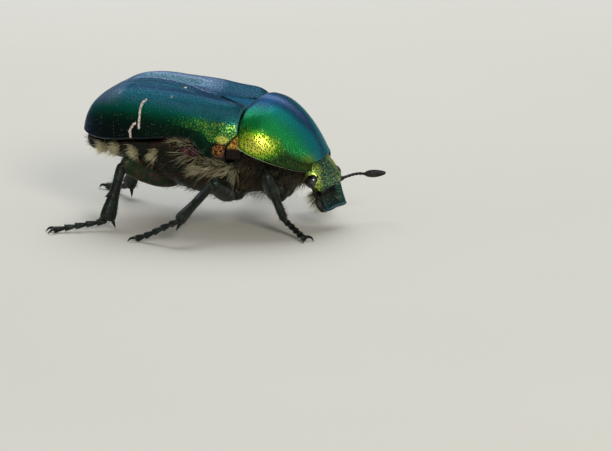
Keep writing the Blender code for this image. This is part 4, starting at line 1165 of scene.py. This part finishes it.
def claw(sole, way, across):
    """A hook that bends aside, up and down again to its tip."""
    ahead, aside, height, radius = (
        follow(list(zip(np.linspace(0, 1, 4), column)), np.linspace(0, 1, 24)) for column in np.array(CLAW).T
    )
    line = sole + way * (CLAW_LENGTH * ahead - 0.2)[:, None] + across * aside[:, None]
    line[:, 2] = height
    return tube(line, radius, radius, (0, 0, 1), 12)


leg_finish = dark_material("leg_chitin", (0.003, 0.006, 0.004), (0.014, 0.035, 0.02), 0.32, 0.13)
thigh_finish = dark_material("thigh_chitin", (0.008, 0.028, 0.008), (0.1, 0.03, 0.03), 0.3, 0.15)
leg_skins = {}
for leg, joints in LEGS.items():
    pair, side = leg.split("_")
    sign = SIDES[side]
    root, knee, ankle, tip = (np.array(point) for point in joints)
    offset, radii, tilt = COXAE[pair]
    c, s = math.cos(tilt * sign), math.sin(tilt * sign)
    coxa = oval(radii) @ np.array([[1, 0, 0], [0, c, s], [0, -s, c]])
    coxa = coxa + to_body(root) + np.array(offset) * (1, sign, 1)
    piece("hip_" + leg, [coxa], leg_finish, ["coxa_" + leg], wrap=True)

    square = unit(np.cross(knee - root, ankle - knee))
    thigh_way = unit(knee - root)
    thigh = limb(root, knee + thigh_way * 0.15, [*FEMUR[pair], FEMUR_END], np.cross(square, thigh_way))
    thigh_look = thigh_finish if pair == "hind" else leg_finish
    piece("thigh_" + leg, [thigh], thigh_look, ["femur_" + leg], on_floor, True)

    shin_way = unit(ankle - knee)
    outer_way = unit(np.cross(square, shin_way))
    outer_way = outer_way * np.sign(np.dot(outer_way, knee - root))
    shin = limb(knee, ankle, TIBIA_START + TIBIA[pair], outer_way)
    piece("shin_" + leg, [shin], leg_finish, ["tibia_" + leg], on_floor, True)
    reach = ankle - knee
    thorns = [
        tooth(knee + reach * f + outer_way * y, knee + reach * g + outer_way * z, radius, square)
        for f, y, g, z, radius in (FORE_TEETH if pair == "fore" else OTHER_TEETH)
    ]
    piece("thorns_" + leg, thorns, leg_finish, ["tibia_" + leg], on_floor, True)

    way = unit((tip - ankle) * (1, 1, 0))
    across = np.cross(way, (0, 0, 1))
    sole = tip - way * CLAW_LENGTH * 0.8
    beads = tarsus_beads(ankle, sole, across)
    piece("foot_" + leg, beads, leg_finish, ["tarsus_" + leg], on_sole, True)
    claws = [claw(sole, way, across * turn_to) for turn_to in (1, -1)]
    piece("claws_" + leg, claws, leg_finish, ["tarsus_" + leg], on_sole, True)
    leg_skins[leg] = (thigh, shin, beads, thigh_way, shin_way, unit(sole - ankle))


# Coat: cream tufts beside the abdomen, long pale hair under the thorax, brown hair under the front shield,
# bristles on the legs, and fine hairs on the shells and the head. Each hair is a thin three-sided spike.
draw = np.random.default_rng(41)
RING_AT = np.array([0.0, 0.35, 0.7, 1.0])
SPIKE = [(3 * k + a, 3 * k + (a + 1) % 3, 3 * k + 3 + (a + 1) % 3) for k in range(2) for a in range(3)]
SPIKE += [(3 * k + a, 3 * k + 3 + (a + 1) % 3, 3 * k + 3 + a) for k in range(2) for a in range(3)]
SPIKE += [(6 + a, 6 + (a + 1) % 3, 9) for a in range(3)] + [(2, 1, 0)]
ALONG_SPIKE = np.repeat(RING_AT, [3, 3, 3, 1])
PATCH = 0.003


def roots(skin, weight, count):
    """Random (row, column) places on a skin, closer together where its weight is higher."""
    high = np.linalg.norm(np.diff(skin, axis=0), axis=-1)[:, :-1]
    wide = np.linalg.norm(np.diff(skin, axis=1), axis=-1)[:-1]
    share = high * wide * weight[:-1, :-1]
    cell = draw.choice(share.size, count, p=(share / share.sum()).ravel())
    row, column = np.divmod(cell, share.shape[1])
    return row + draw.random(count), column + draw.random(count)


def between(values, row, column):
    """What a grid holds at fractional rows and columns, evenly between the four nearest points."""
    i, j = row.astype(int), column.astype(int)
    f, g = (row - i)[:, None], (column - j)[:, None]
    near = values[i, j] * (1 - g) + values[i, j + 1] * g
    return near * (1 - f) + (values[i + 1, j] * (1 - g) + values[i + 1, j + 1] * g) * f


def outward(skin):
    normal = grid_normals(skin)
    return normal * np.sign((normal * (skin - skin.mean((0, 1)))).sum())


def tufts(skin, weight, count, hairs, lie, length, thick=0.012, stand=0.3, base=0.06, fan=0.12):
    """Points and flat places of `count` tufts of `hairs` each: (tuft and hair, ten points, xyz), (…, uv),
    tints. A hair runs from root to tip, at an offset from its tuft's own line, and bows up by a parabola."""
    row, column = roots(skin, weight, count)
    up = unit(between(outward(skin), row, column))
    flat = unit(lie - up * (up @ np.asarray(lie, float))[:, None])
    aim = unit(flat * (1 - stand) + up * stand + draw.normal(size=up.shape) * 0.12)
    long = length * (0.7 + 0.6 * draw.random((count, 1, 1)))
    loose = draw.normal(size=(count, hairs, 3))
    start = between(skin, row, column)[:, None] + loose * base - up[:, None] * thick * 2
    end = start + aim[:, None] * long * (0.7 + 0.5 * draw.random((count, hairs, 1))) + loose * fan
    along = unit(end - start)
    side = unit(np.cross(along, up[:, None]))
    other = np.cross(along, side)
    path = start[:, :, None] + (end - start)[:, :, None] * RING_AT[:, None]
    path = path + up[:, None, None] * long[..., None] * 0.22 * (RING_AT * (1 - RING_AT))[:, None]
    turn = np.radians([0, 120, 240])
    size = thick * (1 - RING_AT[:3, None, None]) ** 0.7
    ring = side[:, :, None, None] * (size * np.cos(turn)[:, None])
    ring = ring + other[:, :, None, None] * (size * np.sin(turn)[:, None])
    points = (path[:, :, :3, None] + ring).reshape(count, hairs, 9, 3)
    points = np.concatenate([points, path[:, :, 3:]], 2).reshape(-1, 10, 3)
    home = np.stack([column / skin.shape[1], row / skin.shape[0]], -1)[:, None, None]
    patch = np.stack([ALONG_SPIKE, np.tile([0, 0.5, 1], 4)[:10]], -1) * PATCH
    flat_place = np.broadcast_to(home + patch, (count, hairs, 10, 2)).reshape(-1, 10, 2)
    return points, flat_place, np.repeat(draw.random(count), hairs)


def coat(name, batches, finish, nodes, place=on_body):
    """One mesh of all the batches' hairs. Each batch has its own strip of the flat map for baking."""
    points, flat_place, tint = (np.concatenate(parts) for parts in zip(*(
        (xyz, (uv + (k, 0)) / (len(batches), 1), tone) for k, (xyz, uv, tone) in enumerate(batches)
    )))
    count = len(points)
    corners = (np.array(SPIKE) + 10 * np.arange(count)[:, None, None]).reshape(-1)
    mesh = bpy.data.meshes.new(name)
    mesh.vertices.add(count * 10)
    mesh.vertices.foreach_set("co", place(points.reshape(-1, 3)).ravel())
    mesh.loops.add(len(corners))
    mesh.loops.foreach_set("vertex_index", corners)
    mesh.polygons.add(len(corners) // 3)
    mesh.polygons.foreach_set("loop_start", np.arange(0, len(corners), 3))
    mesh.update(calc_edges=True)
    mesh.uv_layers.new(name="OFBake").data.foreach_set("uv", flat_place.reshape(-1, 2)[corners].ravel())
    for mark, values in {"along": np.tile(ALONG_SPIKE, count), "tint": np.repeat(tint, 10)}.items():
        mesh.attributes.new(mark, "FLOAT", "POINT").data.foreach_set("value", values)
    join_in(name, mesh, finish, nodes)


def hair_material(name, root_colour, tip_colour, tint_colour):
    """Hair that pales from root to tip and differs a little from tuft to tuft."""
    material, shader, place = start_material(name, Coat_Weight=0.1, Coat_Roughness=0.3)
    colour = place.mark("along").step(0.0, 0.8).mix(root_colour, tip_colour)
    colour = (place.mark("tint") * 0.6).mix(colour, tint_colour)
    feed(shader, Base_Color=colour, Roughness=0.4 + place.noise(0.1) * 0.2)
    return material


cream_hair = hair_material("cream_hair", (0.07, 0.05, 0.02), (0.86, 0.8, 0.52), (0.5, 0.43, 0.22))
brown_hair = hair_material("brown_hair", (0.012, 0.008, 0.004), (0.15, 0.105, 0.045), (0.06, 0.04, 0.018))
BACKWARD = (-1.0, 0.0, -0.45)
CLUMPS_AT = (-5.25, -6.65, -8.05, -9.05)

x, y, z = axes_of(abdomen)
clumps = sum(hill(x, at, 0.24, 4) for at in CLUMPS_AT)
sides = hill(z - 0.1 * (x + 5.2), -3.8, 0.34, 4) * (np.abs(y) > 2.2)
coat("tufts_belly", [
    tufts(abdomen, clumps * sides, 190, 14, BACKWARD, 0.46, thick=0.011, stand=0.45, fan=0.12),
    tufts(abdomen, (z < -3.6) * 1.0, 260, 3, BACKWARD, 0.26, thick=0.008, stand=0.3),
], cream_hair, ["abdomen"])

x, y, z = axes_of(middle_trunk)
long_part = hill(x, -0.95, 1.3, 4) * hill(z, -3.75, 0.4)
brow_part = hill(z, -2.62, 0.14) * hill(x, -3.5, 0.9)
coat("tufts_middle", [
    tufts(middle_trunk, long_part, 95, 11, (-1.0, 0.0, -0.35), 0.95, thick=0.009, stand=0.4, fan=0.24),
    tufts(middle_trunk, brow_part, 110, 9, BACKWARD, 0.4, stand=0.25),
], cream_hair, ["thorax"])
coat("down_middle", [
    tufts(middle_trunk, (z < -3.4) * 1.0, 420, 4, BACKWARD, 0.4, thick=0.009),
], brown_hair, ["thorax"])

x, y, z = axes_of(front_trunk)
coat("tufts_front", [
    tufts(front_trunk, (z < -2.4) * 1.0, 420, 7, (-0.5, 0.0, -0.8), 0.6, 0.01, 0.35, fan=0.16),
], brown_hair, ["prosternum"])

coat("hairs_tail", [
    tufts(tail, np.ones(tail.shape[:2]), 120, 4, (-1, 0, -0.4), 0.22, 0.008, 0.35),
], brown_hair, ["pygidium"])

for side, case in wing_cases.items():
    x, y, z = axes_of(case)
    coat("hairs_case_" + side, [
        tufts(case, 0.15 + (z < -1.5) + (x > -1.2) * 2.0, 420, 1, (-1, 0, 0), 0.09, 0.005, 0.35, 0.0, 0.02),
    ], cream_hair, ["elytron_" + side])

x, y, z = axes_of(front_shield)
low_or_behind = (z < -1.2) * 1.0 + (x < 0.3) * 3.0
coat("hairs_shield", [
    tufts(front_shield, low_or_behind, 420, 1, (-1, 0, -0.3), 0.1, 0.005, 0.4, 0.0, 0.02),
], cream_hair, ["pronotum"])

l, across, up = axes_of(head)
by_eyes = 0.3 + (np.abs(across) > 0.9) * (l > 0.3)
coat("hairs_head", [
    tufts(in_head(head), by_eyes, 420, 1, head_axes[0], 0.11, 0.005, 0.5, 0.0, 0.03),
], cream_hair, ["head"])

l, across, up = axes_of(jaws)
mouth_sides = (np.abs(across) > 0.3) * (l > 2.1) * 1.0
coat("tufts_mouth", [
    tufts(in_head(jaws), mouth_sides, 110, 9, head_axes[0], 0.75, 0.01, 0.75, 0.05, 0.1),
], cream_hair, ["mouthparts"])

for leg, (thigh, shin, beads, thigh_way, shin_way, foot_way) in leg_skins.items():
    along_it = np.broadcast_to(np.linspace(0, 1, len(thigh))[:, None], thigh.shape[:2])
    coat("hairs_thigh_" + leg, [
        tufts(thigh, np.clip(1 - along_it, 0.1, 1), 60, 3, thigh_way, 0.32, 0.007, 0.4, 0.05, 0.07),
    ], brown_hair, ["femur_" + leg], on_floor)
    coat("hairs_shin_" + leg, [
        tufts(shin, 0.3 + along_it, 80, 2, shin_way, 0.24, 0.008, 0.4, 0.03, 0.05),
    ], brown_hair, ["tibia_" + leg], on_floor)
    along_bead = np.broadcast_to(np.linspace(0.1, 1, len(beads[0]))[:, None] ** 2, beads[0].shape[:2])
    coat("hairs_foot_" + leg, [
        tufts(bead, along_bead, 10, 3, foot_way, 0.17, 0.008, 0.4, 0.01, 0.03) for bead in beads
    ], brown_hair, ["tarsus_" + leg], on_sole)


# Floor and light: a plain pale studio floor, a wide soft light above and behind, a weaker one from the front.
# The floor is a wide disc of matt paper at the height of the soles.
FLOOR_RADIUS = 3.0


def studio_floor():
    mesh = bpy.data.meshes.new("floor")
    turn = 2 * np.pi * np.arange(96) / 96
    ring = np.stack([np.cos(turn), np.sin(turn), 0 * turn], -1) * FLOOR_RADIUS
    mesh.from_pydata(ring.tolist(), [], [list(range(96))])
    material, shader, place = start_material("floor_paper", Roughness=0.9)
    feed(shader, Base_Color=place.noise(30.0).mix((0.66, 0.63, 0.55), (0.7, 0.67, 0.59)))
    mesh.materials.append(material)
    add_object("floor", mesh)


def stand(right, up, back, place):
    """The matrix of a lamp or camera at a place, which looks away from `back`."""
    rows = np.stack([right, up, back, place], 1)
    return Matrix([*rows.tolist(), (0, 0, 0, 1)])


def area_light(name, place, aim, size, power, colour):
    light = bpy.data.lights.new(name, "AREA")
    light.shape = "DISK"
    light.size = size
    light.energy = power
    light.color = colour
    back = unit(np.array(place) - np.array(aim))
    side_way = unit(np.cross((0, 0, 1), back))
    add_object(name, light).matrix_world = stand(side_way, np.cross(back, side_way), back, place)


studio_floor()
area_light("sky", (-0.06, 0.16, 0.26), (0, 0, 0.004), 0.3, 0.8, (0.88, 0.93, 1.0))
area_light("key", (0.16, -0.22, 0.14), (0, 0, 0.006), 0.09, 0.42, (1.0, 0.97, 0.9))
world = bpy.data.worlds.new("studio")
world.use_nodes = True
world.node_tree.nodes["Background"].inputs["Color"].default_value = (0.75, 0.78, 0.8, 1.0)
world.node_tree.nodes["Background"].inputs["Strength"].default_value = 0.35
bpy.context.scene.world = world
bpy.context.scene.view_settings.view_transform = "Standard"


# Camera: the photograph's own view, from the animal's right and a little above, with its framing.
# A long lens far away, placed so that one point of the body falls on its own pixel.
CAMERA_TURN = math.radians(15.868)
CAMERA_RISE = math.radians(13.097)
PIXELS_PER_MM = 15.07
AIM_POINT = (-2.0, 0.0, -2.0)
AIM_PIXEL = (223.87, 126.9)
DISTANCE = 260.0
FRAME_SIZE = (612, 451)
SENSOR_WIDTH = 36
right = np.array([math.cos(CAMERA_TURN), math.sin(CAMERA_TURN), 0])
back = np.array([right[1], -right[0], math.tan(CAMERA_RISE)]) * math.cos(CAMERA_RISE)
up = np.cross(back, right)
off_centre = (np.array(AIM_PIXEL) - np.array(FRAME_SIZE) / 2) / PIXELS_PER_MM * 0.001
spot = on_body(AIM_POINT) - right * off_centre[0] + up * off_centre[1] + back * DISTANCE * 0.001
lens = bpy.data.cameras.new("camera")
lens.sensor_fit = "HORIZONTAL"
lens.sensor_width = SENSOR_WIDTH
lens.lens = PIXELS_PER_MM * DISTANCE * SENSOR_WIDTH / FRAME_SIZE[0]
lens.clip_start = 0.001
lens.clip_end = 10
camera = add_object("camera", lens)
camera.matrix_world = stand(right, up, back, spot)
bpy.context.scene.camera = camera
